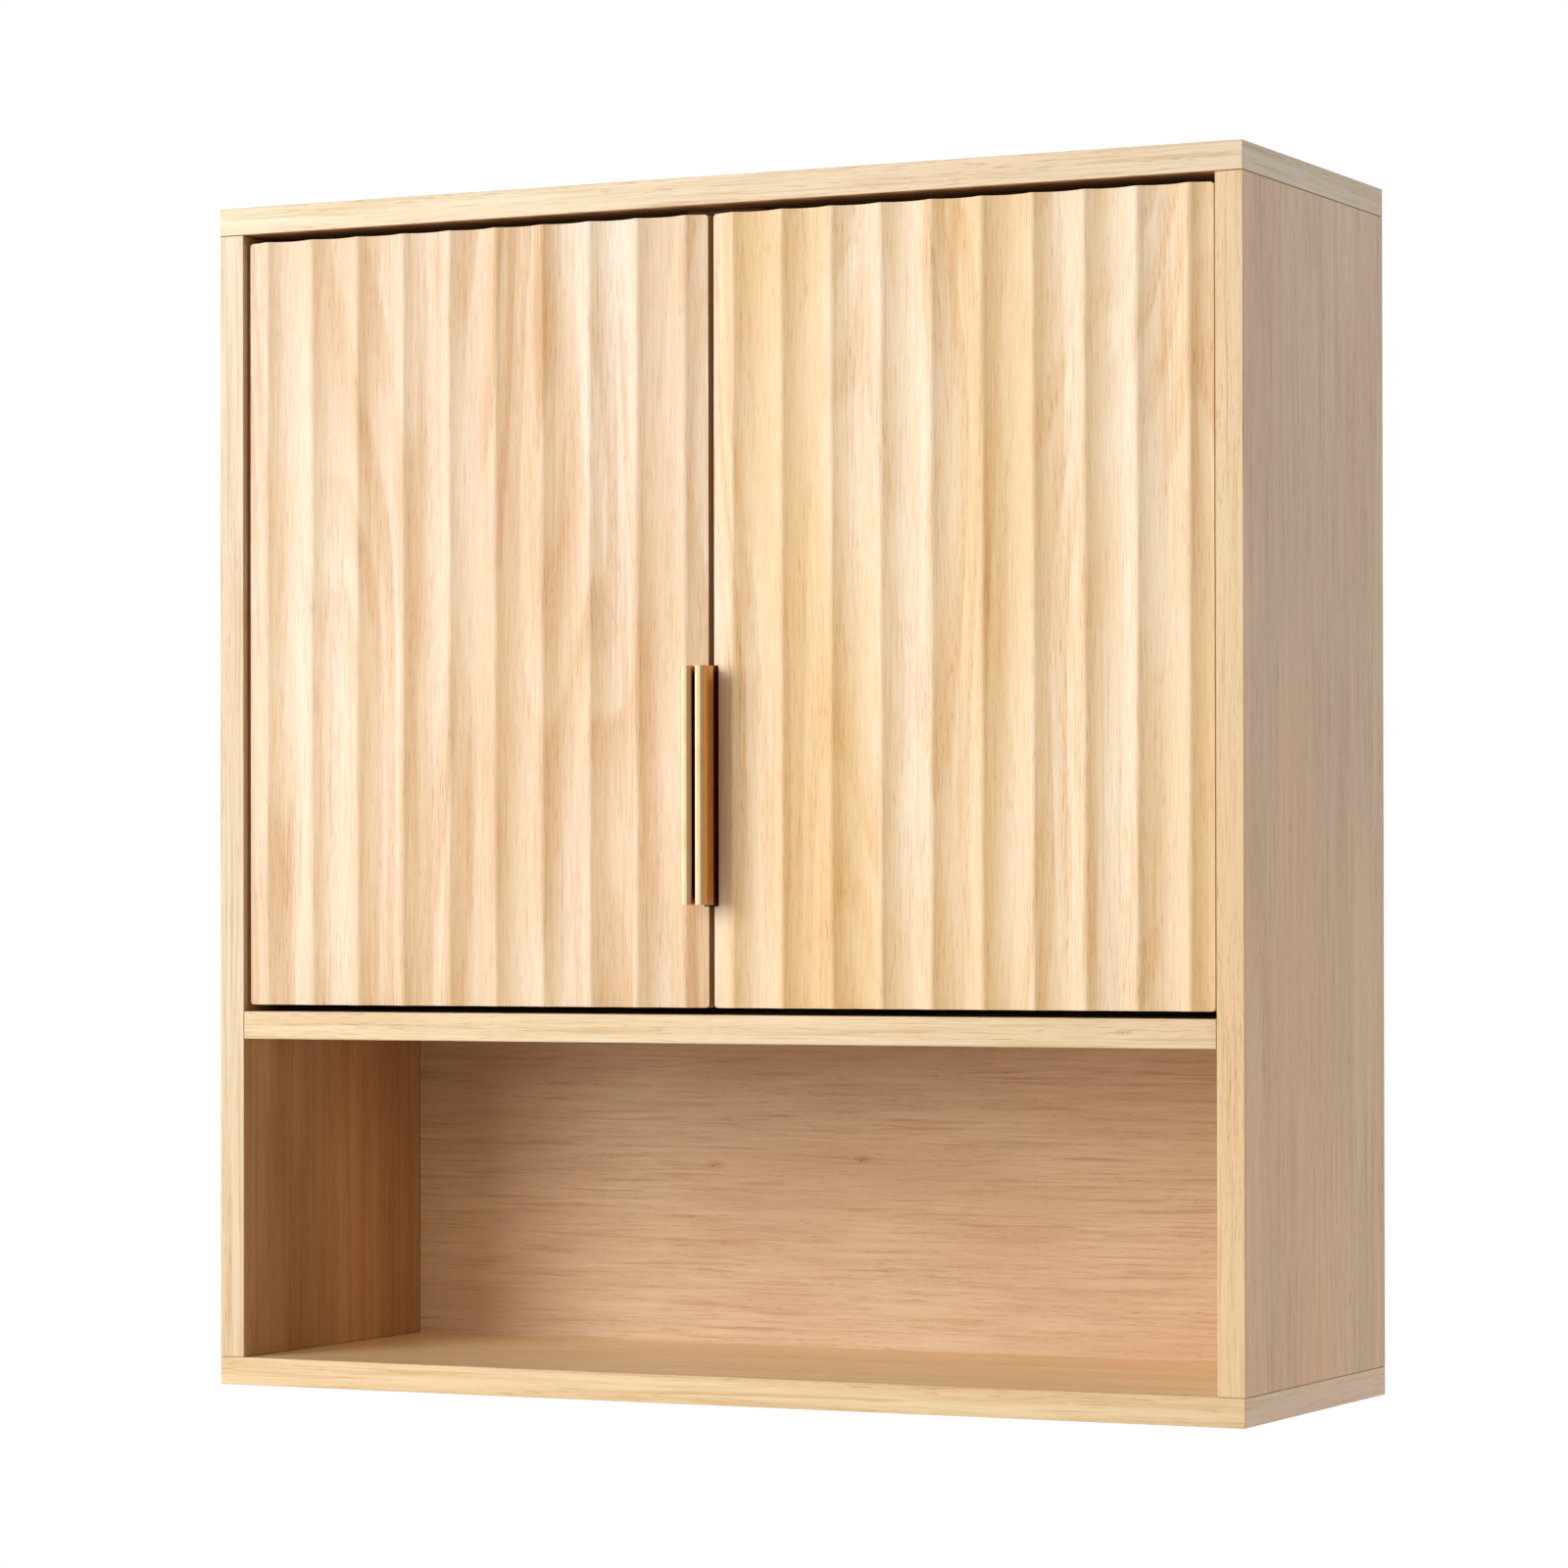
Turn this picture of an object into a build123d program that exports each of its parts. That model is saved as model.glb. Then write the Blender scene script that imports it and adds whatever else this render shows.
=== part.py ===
from build123d import *
import os

# Hanging wall cabinet with two fluted doors over an open bay, in millimetres.
# The frame has its origin on the wall plane, midway between the two hanging
# keyholes. X runs to the right, Y into the wall and Z up.

# Carcass
WIDTH = 600.0  # over the side panels
HEIGHT = 645.0  # over the top and bottom panels
DEPTH = 208.0  # from the wall to the front edges
BOARD = 15.0  # every carcass board and shelf
EDGE_R = 0.6  # eased edges of the boards
BAY_HEIGHT = 174.4  # clear height of the open bay
BACK_T = 5.0  # back panel
BACK_INSET = 10.0  # from the wall plane to the back panel
GROOVE_DEPTH = 5.0  # groove that holds the back panel
FIT = 0.1  # clearance of a fitting in its hole or seat, on each side

# Carcass joinery
DOWEL_R = 4.0
DOWEL_SHORT = 10.0  # in the face of one board
DOWEL_LONG = 20.0  # in the end of the other
DOWEL_FROM_EDGE = 30.0  # from the front edges and from the back panel
CAM_FROM_DOWEL = 32.0  # from a dowel to the next cam joint or long screw
CAM_R = 7.5
CAM_DEPTH = 12.0
CAM_REACH = 24.0  # from the joint to the disc's centre
BOLT_R = 3.0
BOLT_GRIP = 11.0  # threaded in the face of a board
BOLT_NECK_R = 2.2
BOLT_HEAD_L = 4.0
LONG_SCREW_R = 3.5
LONG_SCREW_HEAD_R = 5.0
LONG_SCREW_L = 50.0

# Inner shelf and its pins
SHELF_RISE = 204.0  # from the fixed shelf's top to the inner shelf
SHELF_SETBACK = 36.0  # from the front edges, clear of the swinging doors
SHELF_GAP = 1.0  # to the sides and the back panel
PEG_R = 2.5
PEG_DEPTH = 9.0  # in the side panel
PEG_LIP = 9.0  # ledge under the shelf
PEG_LIP_T = 2.0
PEG_LIP_W = 10.0
PEG_FROM_EDGE = 25.0  # from the shelf's front and back edges
PEG_PITCH = 32.0  # between the holes of a row
PEG_ROWS = 2  # spare holes above and below each peg

# Doors
DOOR_T = 18.0  # over the ridges
DOOR_INSET = 0.6  # ridges behind the carcass front edges
DOOR_GAP_SIDE = 2.1
DOOR_GAP_MID = 3.3
DOOR_GAP_TOP = 4.7
DOOR_GAP_BOTTOM = 3.8
DOOR_CORNER_R = 2.0
FLUTE_PITCH = 28.5  # from ridge to ridge
FLUTE_DEPTH = 3.6
RIDGE_FLAT = 2.4  # crest between two flutes, before it is rounded
RIDGE_R = 4.2

# Concealed hinges
HINGE_FROM_END = 75.0  # from the door's top and bottom edges
CUP_R = 17.5
CUP_DEPTH = 11.5
CUP_WALL = 1.0
CUP_FROM_EDGE = 4.0  # wood left between the cup and the door's edge
FLANGE_T = 1.0
FLANGE_RIM = 1.8  # flange beyond the cup
CUP_SCREW_PITCH = 48.0
CUP_SCREW_OFFSET = 7.0  # from the cup's centre towards the door's middle
PIVOT_FROM_EDGE = 16.0  # hinge axis from the door's outer edge
PIVOT_DEPTH = 7.0  # hinge axis below the door's back
HINGE_PIN_R = 1.5
HINGE_PIN_FIT = 0.05  # running clearance in the arm's eye
EYE_R = 3.0
ARM_T = 3.2
ARM_W = 12.0
ARM_BEND_R = 5.0
NECK_OUT = 18.0  # how far the neck swings past the hinge axis
NECK_BACK = 25.0  # how far it reaches behind the hinge axis
ARM_L = 54.0  # straight part over the mounting plate
SEAT_T = 5.5  # mounting plate under the arm
SEAT_W = 14.0
WING_T = 3.0  # mounting plate's screw wings
WING_W = 14.0
WING_SPAN = 46.0
SEAT_SCREW_PITCH = 32.0
SEAT_SETBACK = 37.0  # from the door's back to the wing screws
ARM_SCREW_SETBACK = 26.0  # from the wing screws to the arm's screw
ARM_SCREW_R = 2.5
ARM_SCREW_HEAD_R = 4.5
ARM_SCREW_L = 7.5

# Wood screws of the fittings
SCREW_R = 1.75
SCREW_HEAD_R = 3.4
SCREW_L = 11.0

# Handles, folded from sheet and let into the doors' meeting edges
HANDLE_GAP = 1.3  # between the two handles
HANDLE_T = 2.0
HANDLE_L = 125.0
HANDLE_RISE = 54.0  # from the door's bottom edge to the handle
HANDLE_PROUD = 19.5  # in front of the ridges
HANDLE_FACE = 6.7  # width of the front
HANDLE_RETURN = 10.5  # depth of the lip behind the front
HANDLE_FLANGE = 24.0  # on the door's back
HANDLE_BEND_R = 1.5
HANDLE_ROOM = 1.6  # notch in the door beyond the handle
HANDLE_END_ROOM = 0.8  # notch above and below the handle
HANDLE_SCREW_PITCH = 80.0

# Double magnetic catch under the top panel
CATCH_W = 48.0
CATCH_D = 15.0
CATCH_H = 17.0
CATCH_FLOOR = 2.5  # housing below the magnets
CATCH_EAR = 10.0  # screw ear at each end
CATCH_EAR_T = 3.0
MAGNET_W = 16.0
MAGNET_D = 10.0
MAGNET_H = 7.0
MAGNET_PROUD = 0.6
MAGNET_FROM_MID = 12.0
CATCH_GAP = 0.3  # between magnet and strike plate
STRIKE_W = 18.0
STRIKE_H = 11.0
STRIKE_T = 1.2

# Hanger plates let into the rear corners
HANGER_DROP = 34.0  # keyhole entry from the cabinet's top and side
HANGER_LEG = 50.0
HANGER_INSET = 2.0  # plate edge from the cabinet's top and side
HANGER_T = 2.0
HANGER_CORNER_R = 12.0
KEYHOLE_R = 4.5  # entry for the head of a wall screw
KEYHOLE_SLOT_R = 2.5
KEYHOLE_RISE = 9.0  # from the entry to the slot's end
HANGER_SCREW_L = 20.0

# Faces that the pieces share
X_OUT = WIDTH / 2
X_IN = X_OUT - BOARD
X_MID = X_OUT - BOARD / 2
Y_FRONT = -DEPTH
Y_BACK = -BACK_INSET - BACK_T
Z_TOP = HANGER_DROP
Z_ROOF = Z_TOP - BOARD
Z_BOTTOM = Z_TOP - HEIGHT
Z_FLOOR = Z_BOTTOM + BOARD
Z_SHELF = Z_FLOOR + BAY_HEIGHT
Z_DECK = Z_SHELF + BOARD
Z_LOOSE = Z_DECK + SHELF_RISE

Y_DOWELS = (Y_FRONT + DOWEL_FROM_EDGE, Y_BACK - DOWEL_FROM_EDGE)
Y_CAMS = (Y_DOWELS[0] + CAM_FROM_DOWEL, Y_DOWELS[1] - CAM_FROM_DOWEL)
Y_LOOSE = Y_FRONT + SHELF_SETBACK
Y_LOOSE_BACK = Y_BACK - SHELF_GAP
Y_PEGS = (Y_LOOSE + PEG_FROM_EDGE, Y_LOOSE_BACK - PEG_FROM_EDGE)

X_MEET = DOOR_GAP_MID / 2
X_PULL = HANDLE_GAP / 2
X_EDGE = X_IN - DOOR_GAP_SIDE
DOOR_W = X_EDGE - X_MEET
Y_DOOR = Y_FRONT + DOOR_INSET
Y_DOOR_BACK = Y_DOOR + DOOR_T
Z_DOOR = Z_DECK + DOOR_GAP_BOTTOM
Z_DOOR_TOP = Z_ROOF - DOOR_GAP_TOP
DOOR_H = Z_DOOR_TOP - Z_DOOR
Z_HANDLE = Z_DOOR + HANDLE_RISE
Z_HINGES = {"lower": Z_DOOR + HINGE_FROM_END, "upper": Z_DOOR_TOP - HINGE_FROM_END}

X_CUP = X_EDGE - CUP_FROM_EDGE - CUP_R
X_PIVOT = X_EDGE - PIVOT_FROM_EDGE
Y_PIVOT = Y_DOOR_BACK - PIVOT_DEPTH
Y_WINGS = Y_DOOR_BACK + SEAT_SETBACK
Y_ARM_SCREW = Y_WINGS + ARM_SCREW_SETBACK
Y_ARM_START = Y_WINGS - WING_W / 2 - ARM_T
X_ARM = X_IN - SEAT_T - ARM_T / 2
Y_CATCH = Y_DOOR_BACK + STRIKE_T + CATCH_GAP + MAGNET_PROUD
Z_MAGNET = Z_ROOF - CATCH_H + CATCH_FLOOR + MAGNET_H / 2

SIDES = {"left": -1, "right": 1}
RIGHT = (1, 0, 0)
UP = (0, 0, 1)
DOWN = (0, 0, -1)
FORWARD = (0, -1, 0)


def slab(x0, x1, y0, y1, z0, z1):
    """Box between two corners."""
    middle = Pos((x0 + x1) / 2, (y0 + y1) / 2, (z0 + z1) / 2)
    return middle * Box(abs(x1 - x0), abs(y1 - y0), abs(z1 - z0))


def rod(radius, start, along, length):
    """Round bar from a point in a direction."""
    base = (Align.CENTER, Align.CENTER, Align.MIN)
    return Plane(origin=start, z_dir=along) * Cylinder(radius, length, align=base)


def turned(outline, start, along):
    """Solid of revolution from an outline of radius and distance from the start."""
    face = Plane.XZ * make_face(Polyline(*outline, close=True))
    return Plane(origin=start, z_dir=along) * revolve(face, Axis.Z)


def screw(start, along, length=SCREW_L, radius=SCREW_R, head_r=SCREW_HEAD_R, room=0.0):
    """Countersunk screw from the face of its head, or with room the hole it sits in."""
    cone = head_r - radius
    outline = [(0, 0), (head_r + room, 0), (radius + room, cone), (radius + room, length - radius), (0, length + room)]
    return turned(outline, start, along)


def at_side(shape, side):
    """A piece modelled for the right-hand side, or its mirror image for the left."""
    return shape if side > 0 else mirror(shape, about=Plane.YZ)


def both_sides(shapes):
    """Pieces of the right-hand side and their mirror images."""
    return [at_side(shape, side) for shape in shapes for side in SIDES.values()]


def dowels(room=0.0):
    """Wooden dowels at the ends of the sides and of the fixed shelf."""
    length = DOWEL_SHORT + DOWEL_LONG + 2 * room
    short = DOWEL_SHORT + room
    pins = []
    for y in Y_DOWELS:
        pins.append(rod(DOWEL_R + room, (X_MID, y, Z_ROOF + short), DOWN, length))
        pins.append(rod(DOWEL_R + room, (X_MID, y, Z_FLOOR - short), UP, length))
        pins.append(rod(DOWEL_R + room, (X_IN + short, y, Z_SHELF + BOARD / 2), (-1, 0, 0), length))
    return both_sides(pins)


def cam_bolt(start, along, room=0.0):
    """Bolt with a threaded grip, a thin neck and a head inside the cam disc, or its hole."""
    end = BOLT_GRIP + CAM_REACH + BOLT_HEAD_L / 2
    if room:
        return rod(BOLT_R + room, start, along, end + room)
    head = end - BOLT_HEAD_L
    shoulder = head - BOLT_HEAD_L
    outline = [(0, 0), (BOLT_R, 0), (BOLT_R, shoulder), (BOLT_NECK_R, shoulder), (BOLT_NECK_R, head)]
    outline += [(BOLT_R, head), (BOLT_R, end), (0, end)]
    return turned(outline, start, along)


def cam_bolts(room=0.0):
    """Cam bolts in the top panel and in the sides, at the fixed shelf."""
    bolts = []
    for y in Y_CAMS:
        bolts.append(cam_bolt((X_MID, y, Z_ROOF + BOLT_GRIP), DOWN, room))
        bolts.append(cam_bolt((X_IN + BOLT_GRIP, y, Z_SHELF + BOARD / 2), (-1, 0, 0), room))
    return both_sides(bolts)


def cam_discs(room=0.0):
    """Cam discs in the sides' inner faces and in the fixed shelf's underside."""
    discs = []
    for y in Y_CAMS:
        discs.append(rod(CAM_R + room, (X_IN, y, Z_ROOF - CAM_REACH), RIGHT, CAM_DEPTH + room))
        discs.append(rod(CAM_R + room, (X_IN - CAM_REACH, y, Z_SHELF), UP, CAM_DEPTH + room))
    if not room:
        discs = [disc - cam_bolts(FIT) for disc in discs]
    return both_sides(discs)


def bottom_screws(room=0.0):
    """Long screws through the bottom panel into the sides."""
    starts = [(X_MID, y, Z_BOTTOM) for y in Y_CAMS]
    return both_sides([screw(s, UP, LONG_SCREW_L, LONG_SCREW_R, LONG_SCREW_HEAD_R, room) for s in starts])


def peg_holes():
    """Rows of holes for the shelf pins in the right-hand side panel."""
    levels = [Z_LOOSE - PEG_LIP_T - PEG_R + PEG_PITCH * row for row in range(-PEG_ROWS, PEG_ROWS + 1)]
    return [rod(PEG_R + FIT, (X_IN, y, z), RIGHT, PEG_DEPTH + FIT) for y in Y_PEGS for z in levels]


def shelf_pins():
    """Pins with a flat ledge under the inner shelf."""
    pins = []
    for y in Y_PEGS:
        peg = rod(PEG_R, (X_IN - PEG_LIP / 3, y, Z_LOOSE - PEG_LIP_T - PEG_R), RIGHT, PEG_DEPTH + PEG_LIP / 3)
        half = PEG_LIP_W / 2
        ledge = slab(X_IN - PEG_LIP, X_IN, y - half, y + half, Z_LOOSE - PEG_LIP_T, Z_LOOSE)
        web = slab(X_IN - PEG_LIP_T, X_IN, y - half, y + half, Z_LOOSE - PEG_LIP_T - 2 * PEG_R, Z_LOOSE)
        pins.append(peg + ledge + web)
    return both_sides(pins)


def hanger_outline(room=0.0):
    """Plate of the right-hand rear corner, let into the rear edges of the boards."""
    high = Z_TOP - HANGER_INSET + room
    right = X_OUT - HANGER_INSET + room
    leg = HANGER_LEG + 2 * room
    plate = slab(right - leg, right, -HANGER_T, 0, high - leg, high)
    inner = plate.edges().filter_by(Axis.Y).sort_by(Axis.X)[:2].sort_by(Axis.Z)[0]
    return fillet(inner, HANGER_CORNER_R)


def hanger_screws(room=0.0):
    """Screws of the hanger plates, two in the top panel and one in the side."""
    far = HANGER_LEG - BOARD / 2
    spots = [(X_MID, Z_TOP - BOARD / 2), (X_OUT - far, Z_TOP - BOARD / 2), (X_MID, Z_TOP - far)]
    return both_sides([screw((x, 0, z), FORWARD, HANGER_SCREW_L, room=room) for x, z in spots])


def hanger_plate():
    """Hanger plate with its keyhole and screw holes."""
    entry = (Z_TOP - HANGER_DROP, X_OUT - HANGER_DROP)
    hole = rod(KEYHOLE_R, (entry[1], 0, entry[0]), FORWARD, HANGER_T)
    end = rod(KEYHOLE_SLOT_R, (entry[1], 0, entry[0] + KEYHOLE_RISE), FORWARD, HANGER_T)
    slot = slab(entry[1] - KEYHOLE_SLOT_R, entry[1] + KEYHOLE_SLOT_R, -HANGER_T, 0, entry[0], entry[0] + KEYHOLE_RISE)
    return hanger_outline() - [hole, slot, end] - hanger_screws(FIT)


def seat_screws(room=0.0):
    """Screws of the hinges' mounting plates in the right-hand side panel."""
    offsets = (-SEAT_SCREW_PITCH / 2, SEAT_SCREW_PITCH / 2)
    spots = [(X_IN - WING_T, Y_WINGS, z + offset) for z in Z_HINGES.values() for offset in offsets]
    return [screw(spot, RIGHT, room=room) for spot in spots]


def arm_screw(z, room=0.0):
    """Screw that clamps an arm on its mounting plate."""
    start = (X_IN - SEAT_T - ARM_T, Y_ARM_SCREW, z)
    return screw(start, RIGHT, ARM_SCREW_L, ARM_SCREW_R, ARM_SCREW_HEAD_R, room)


def catch_screws(room=0.0):
    """Screws through the catch's ears into the top panel."""
    x = CATCH_W / 2 - CATCH_EAR / 2
    spots = [(side * x, Y_CATCH + CATCH_D / 2, Z_ROOF - CATCH_EAR_T) for side in SIDES.values()]
    return [screw(spot, UP, room=room) for spot in spots]


def cup_screws(z, room=0.0):
    """Screws of a hinge cup in the back of the right-hand door."""
    offsets = (-CUP_SCREW_PITCH / 2, CUP_SCREW_PITCH / 2)
    x = X_CUP - CUP_SCREW_OFFSET
    return [screw((x, Y_DOOR_BACK + FLANGE_T, z + offset), FORWARD, room=room) for offset in offsets]


def handle_screws(room=0.0):
    """Screws of the right-hand handle's flange in the back of the door."""
    x = X_PULL + HANDLE_T + (HANDLE_FLANGE - HANDLE_T) / 2
    middle = Z_HANDLE + HANDLE_L / 2
    offsets = (-HANDLE_SCREW_PITCH / 2, HANDLE_SCREW_PITCH / 2)
    return [screw((x, Y_DOOR_BACK + HANDLE_T, middle + offset), FORWARD, room=room) for offset in offsets]


def strike_screw(room=0.0):
    """Screw of the right-hand door's strike plate."""
    return screw((MAGNET_FROM_MID, Y_DOOR_BACK + STRIKE_T, Z_MAGNET), FORWARD, room=room)


def back_panel(room=0.0):
    """Panel in the grooves of the carcass, or with room the grooves themselves."""
    reach = GROOVE_DEPTH - FIT + room
    x = X_IN + reach
    return slab(-x, x, Y_BACK - room, Y_BACK + BACK_T + room, Z_FLOOR - reach, Z_ROOF + reach)


CARCASS_HOLES = dowels(FIT) + cam_bolts(FIT) + cam_discs(FIT) + bottom_screws(FIT) + hanger_screws(FIT)
CARCASS_HOLES += both_sides(peg_holes() + seat_screws(FIT) + [hanger_outline(FIT)])
CARCASS_HOLES += catch_screws(FIT) + [back_panel(FIT)]


def board(x0, x1, y0, y1, z0, z1):
    """Board with eased edges, bored for every fitting that reaches into it."""
    plain = slab(x0, x1, y0, y1, z0, z1)
    box = plain.bounding_box()
    near = [hole for hole in CARCASS_HOLES if box.overlaps(hole.bounding_box())]
    return fillet(plain.edges(), EDGE_R) - near


def fixed_shelf():
    """Shelf between the sides, over the open bay."""
    return board(-X_IN, X_IN, Y_FRONT, Y_BACK - FIT, Z_SHELF, Z_DECK)


def inner_shelf():
    """Loose shelf behind the doors."""
    x = X_IN - SHELF_GAP
    plain = slab(-x, x, Y_LOOSE, Y_LOOSE_BACK, Z_LOOSE, Z_LOOSE + BOARD)
    return fillet(plain.edges(), EDGE_R)


def flute_section():
    """Plan of the right-hand door, with concave flutes between rounded ridges."""
    chord = FLUTE_PITCH - RIDGE_FLAT
    radius = (chord**2 / 4 + FLUTE_DEPTH**2) / (2 * FLUTE_DEPTH)
    ridges = max(2, round(DOOR_W / FLUTE_PITCH))
    middle = (X_MEET + X_EDGE) / 2
    plan = Pos(middle, Y_DOOR + DOOR_T / 2) * Rectangle(DOOR_W, DOOR_T)
    first = middle - FLUTE_PITCH * ridges / 2
    y = Y_DOOR + FLUTE_DEPTH - radius
    plan -= [Pos(first + FLUTE_PITCH * n, y) * Circle(radius) for n in range(ridges + 1)]
    crests = [v for v in plan.vertices() if v.Y < Y_DOOR + FIT and X_MEET + FIT < v.X < X_EDGE - FIT]
    return fillet(crests, RIDGE_R)


def door_panel():
    """Right-hand fluted door with its hinge bores and the notch for its handle."""
    panel = Pos(0, 0, Z_DOOR) * extrude(flute_section(), DOOR_H)
    panel = fillet(panel.edges().filter_by(Axis.Y), DOOR_CORNER_R)
    holes = [strike_screw(FIT)] + handle_screws(FIT)
    for z in Z_HINGES.values():
        holes.append(rod(CUP_R + FIT, (X_CUP, Y_DOOR_BACK, z), FORWARD, CUP_DEPTH + FIT))
        holes += cup_screws(z, FIT)
    z0 = Z_HANDLE - HANDLE_END_ROOM
    z1 = Z_HANDLE + HANDLE_L + HANDLE_END_ROOM
    notch = X_PULL + HANDLE_T + HANDLE_ROOM
    holes.append(slab(X_MEET - FIT, notch, Y_DOOR, Y_DOOR_BACK, z0, z1))
    return panel - holes


def handle():
    """Right-hand edge pull: flange on the door's back, web in the notch, front and returned lip."""
    half = HANDLE_T / 2
    x = X_PULL + half
    y_flange = Y_DOOR_BACK + half
    y_face = Y_DOOR - HANDLE_PROUD + half
    x_lip = X_PULL + HANDLE_FACE - half
    line = FilletPolyline(
        (X_PULL + HANDLE_FLANGE, y_flange),
        (x, y_flange),
        (x, y_face),
        (x_lip, y_face),
        (x_lip, Y_DOOR - HANDLE_PROUD + HANDLE_RETURN),
        radius=HANDLE_BEND_R,
    )
    pull = Pos(0, 0, Z_HANDLE) * extrude(trace(line, HANDLE_T), HANDLE_L)
    return pull - handle_screws(FIT)


def hinge_pin(z):
    """Pin across the hinge cup."""
    offset = X_PIVOT - X_CUP
    half = ((CUP_R - CUP_WALL / 2) ** 2 - offset**2) ** 0.5
    return rod(HINGE_PIN_R, (X_PIVOT, Y_PIVOT, z - half), UP, 2 * half)


def hinge_cup(z):
    """Hinge cup with its screw flange, bored for the pin."""
    base = Plane(origin=(X_CUP, Y_DOOR_BACK, z), x_dir=RIGHT, z_dir=(0, 1, 0))
    ears = [Pos(-CUP_SCREW_OFFSET, v) for v in (-CUP_SCREW_PITCH / 2, CUP_SCREW_PITCH / 2)]
    rim = Circle(CUP_R + FLANGE_RIM)
    outline = make_hull((Sketch() + [rim] + [ear * Circle(SCREW_HEAD_R + FLANGE_RIM) for ear in ears]).edges())
    flange = extrude(base * outline, FLANGE_T)
    shell = rod(CUP_R, (X_CUP, Y_DOOR_BACK, z), FORWARD, CUP_DEPTH)
    hollow = rod(CUP_R - CUP_WALL, (X_CUP, Y_DOOR_BACK + FLANGE_T, z), FORWARD, FLANGE_T + CUP_DEPTH - CUP_WALL)
    return flange + shell - [hollow, hinge_pin(z)] - cup_screws(z, FIT)


def hinge_arm(z):
    """Gooseneck arm that reaches round the door's swinging edge to the pin in the cup."""
    line = FilletPolyline(
        (X_PIVOT, Y_PIVOT),
        (X_PIVOT - 0.64 * NECK_OUT, Y_PIVOT + 0.22 * NECK_BACK),
        (X_PIVOT - NECK_OUT, Y_PIVOT + 0.62 * NECK_BACK),
        (X_PIVOT - 0.67 * NECK_OUT, Y_PIVOT + NECK_BACK),
        (X_ARM, Y_ARM_START),
        (X_ARM, Y_ARM_START + ARM_L),
        radius=ARM_BEND_R,
    )
    bent = extrude(trace(line, ARM_T), ARM_W / 2, both=True)
    eye = rod(EYE_R, (X_PIVOT, Y_PIVOT, -ARM_W / 2), UP, ARM_W)
    bore = rod(HINGE_PIN_R + HINGE_PIN_FIT, (X_PIVOT, Y_PIVOT, -ARM_W / 2), UP, ARM_W)
    return Pos(0, 0, z) * (bent + eye - bore) - arm_screw(z, FIT)


def hinge_seat(z):
    """Mounting plate on the side panel, with a wing for each screw."""
    y0 = Y_ARM_START + ARM_BEND_R
    rail = slab(X_IN - SEAT_T, X_IN, y0, Y_ARM_START + ARM_L, z - SEAT_W / 2, z + SEAT_W / 2)
    half = WING_W / 2
    wings = slab(X_IN - WING_T, X_IN, Y_WINGS - half, Y_WINGS + half, z - WING_SPAN / 2, z + WING_SPAN / 2)
    wings = fillet(wings.edges().filter_by(Axis.X), half * 0.9)
    return rail + wings - seat_screws(FIT) - arm_screw(z, FIT)


def catch_magnets(room=0.0):
    """Magnets of the catch, a little proud of its front."""
    x0 = MAGNET_FROM_MID - MAGNET_W / 2 - room
    z0 = Z_MAGNET - MAGNET_H / 2 - room
    y0 = Y_CATCH - MAGNET_PROUD
    block = slab(x0, x0 + MAGNET_W + 2 * room, y0, y0 + MAGNET_D + room, z0, z0 + MAGNET_H + 2 * room)
    return both_sides([block])


def catch_housing():
    """Housing of the double catch, with a screw ear at each end."""
    body = CATCH_W / 2 - CATCH_EAR
    block = slab(-body, body, Y_CATCH, Y_CATCH + CATCH_D, Z_ROOF - CATCH_H, Z_ROOF)
    ears = slab(-CATCH_W / 2, CATCH_W / 2, Y_CATCH, Y_CATCH + CATCH_D, Z_ROOF - CATCH_EAR_T, Z_ROOF)
    ears = fillet(ears.edges().filter_by(Axis.Z), CATCH_D / 3)
    return block + ears - catch_magnets(FIT) - catch_screws(FIT)


def strike_plate():
    """Steel plate on the right-hand door for the magnet to hold."""
    x0 = MAGNET_FROM_MID - STRIKE_W / 2
    z0 = Z_MAGNET - STRIKE_H / 2
    plate = slab(x0, x0 + STRIKE_W, Y_DOOR_BACK, Y_DOOR_BACK + STRIKE_T, z0, z0 + STRIKE_H)
    plate = fillet(plate.edges().filter_by(Axis.Y), DOOR_CORNER_R)
    return plate - strike_screw(FIT)


def save(name, *shapes):
    """Write one named node, as one or more separate solids."""
    solids = [solid for shape in shapes for solid in shape.solids()]
    export_step(solids[0] if len(solids) == 1 else Compound(children=solids), f"parts/{name}.step")


os.makedirs("parts", exist_ok=True)

save("top_panel", board(-X_OUT, X_OUT, Y_FRONT, 0, Z_ROOF, Z_TOP))
save("bottom_panel", board(-X_OUT, X_OUT, Y_FRONT, 0, Z_BOTTOM, Z_FLOOR))
save("left_side_panel", board(-X_OUT, -X_IN, Y_FRONT, 0, Z_FLOOR, Z_ROOF))
save("right_side_panel", board(X_IN, X_OUT, Y_FRONT, 0, Z_FLOOR, Z_ROOF))
save("fixed_shelf", fixed_shelf())
save("back_panel", back_panel())
save("inner_shelf", inner_shelf())
save("shelf_pins", *shelf_pins())
save("carcass_dowels", *dowels())
save("cam_bolts", *cam_bolts())
save("cam_discs", *cam_discs())
save("bottom_screws", *bottom_screws())
save("hanger_screws", *hanger_screws())
save("catch_housing", catch_housing())
save("catch_magnets", *catch_magnets())
save("catch_screws", *catch_screws())
save("hinge_seat_screws", *both_sides(seat_screws()))
save("hinge_arm_screws", *both_sides([arm_screw(z) for z in Z_HINGES.values()]))

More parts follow.
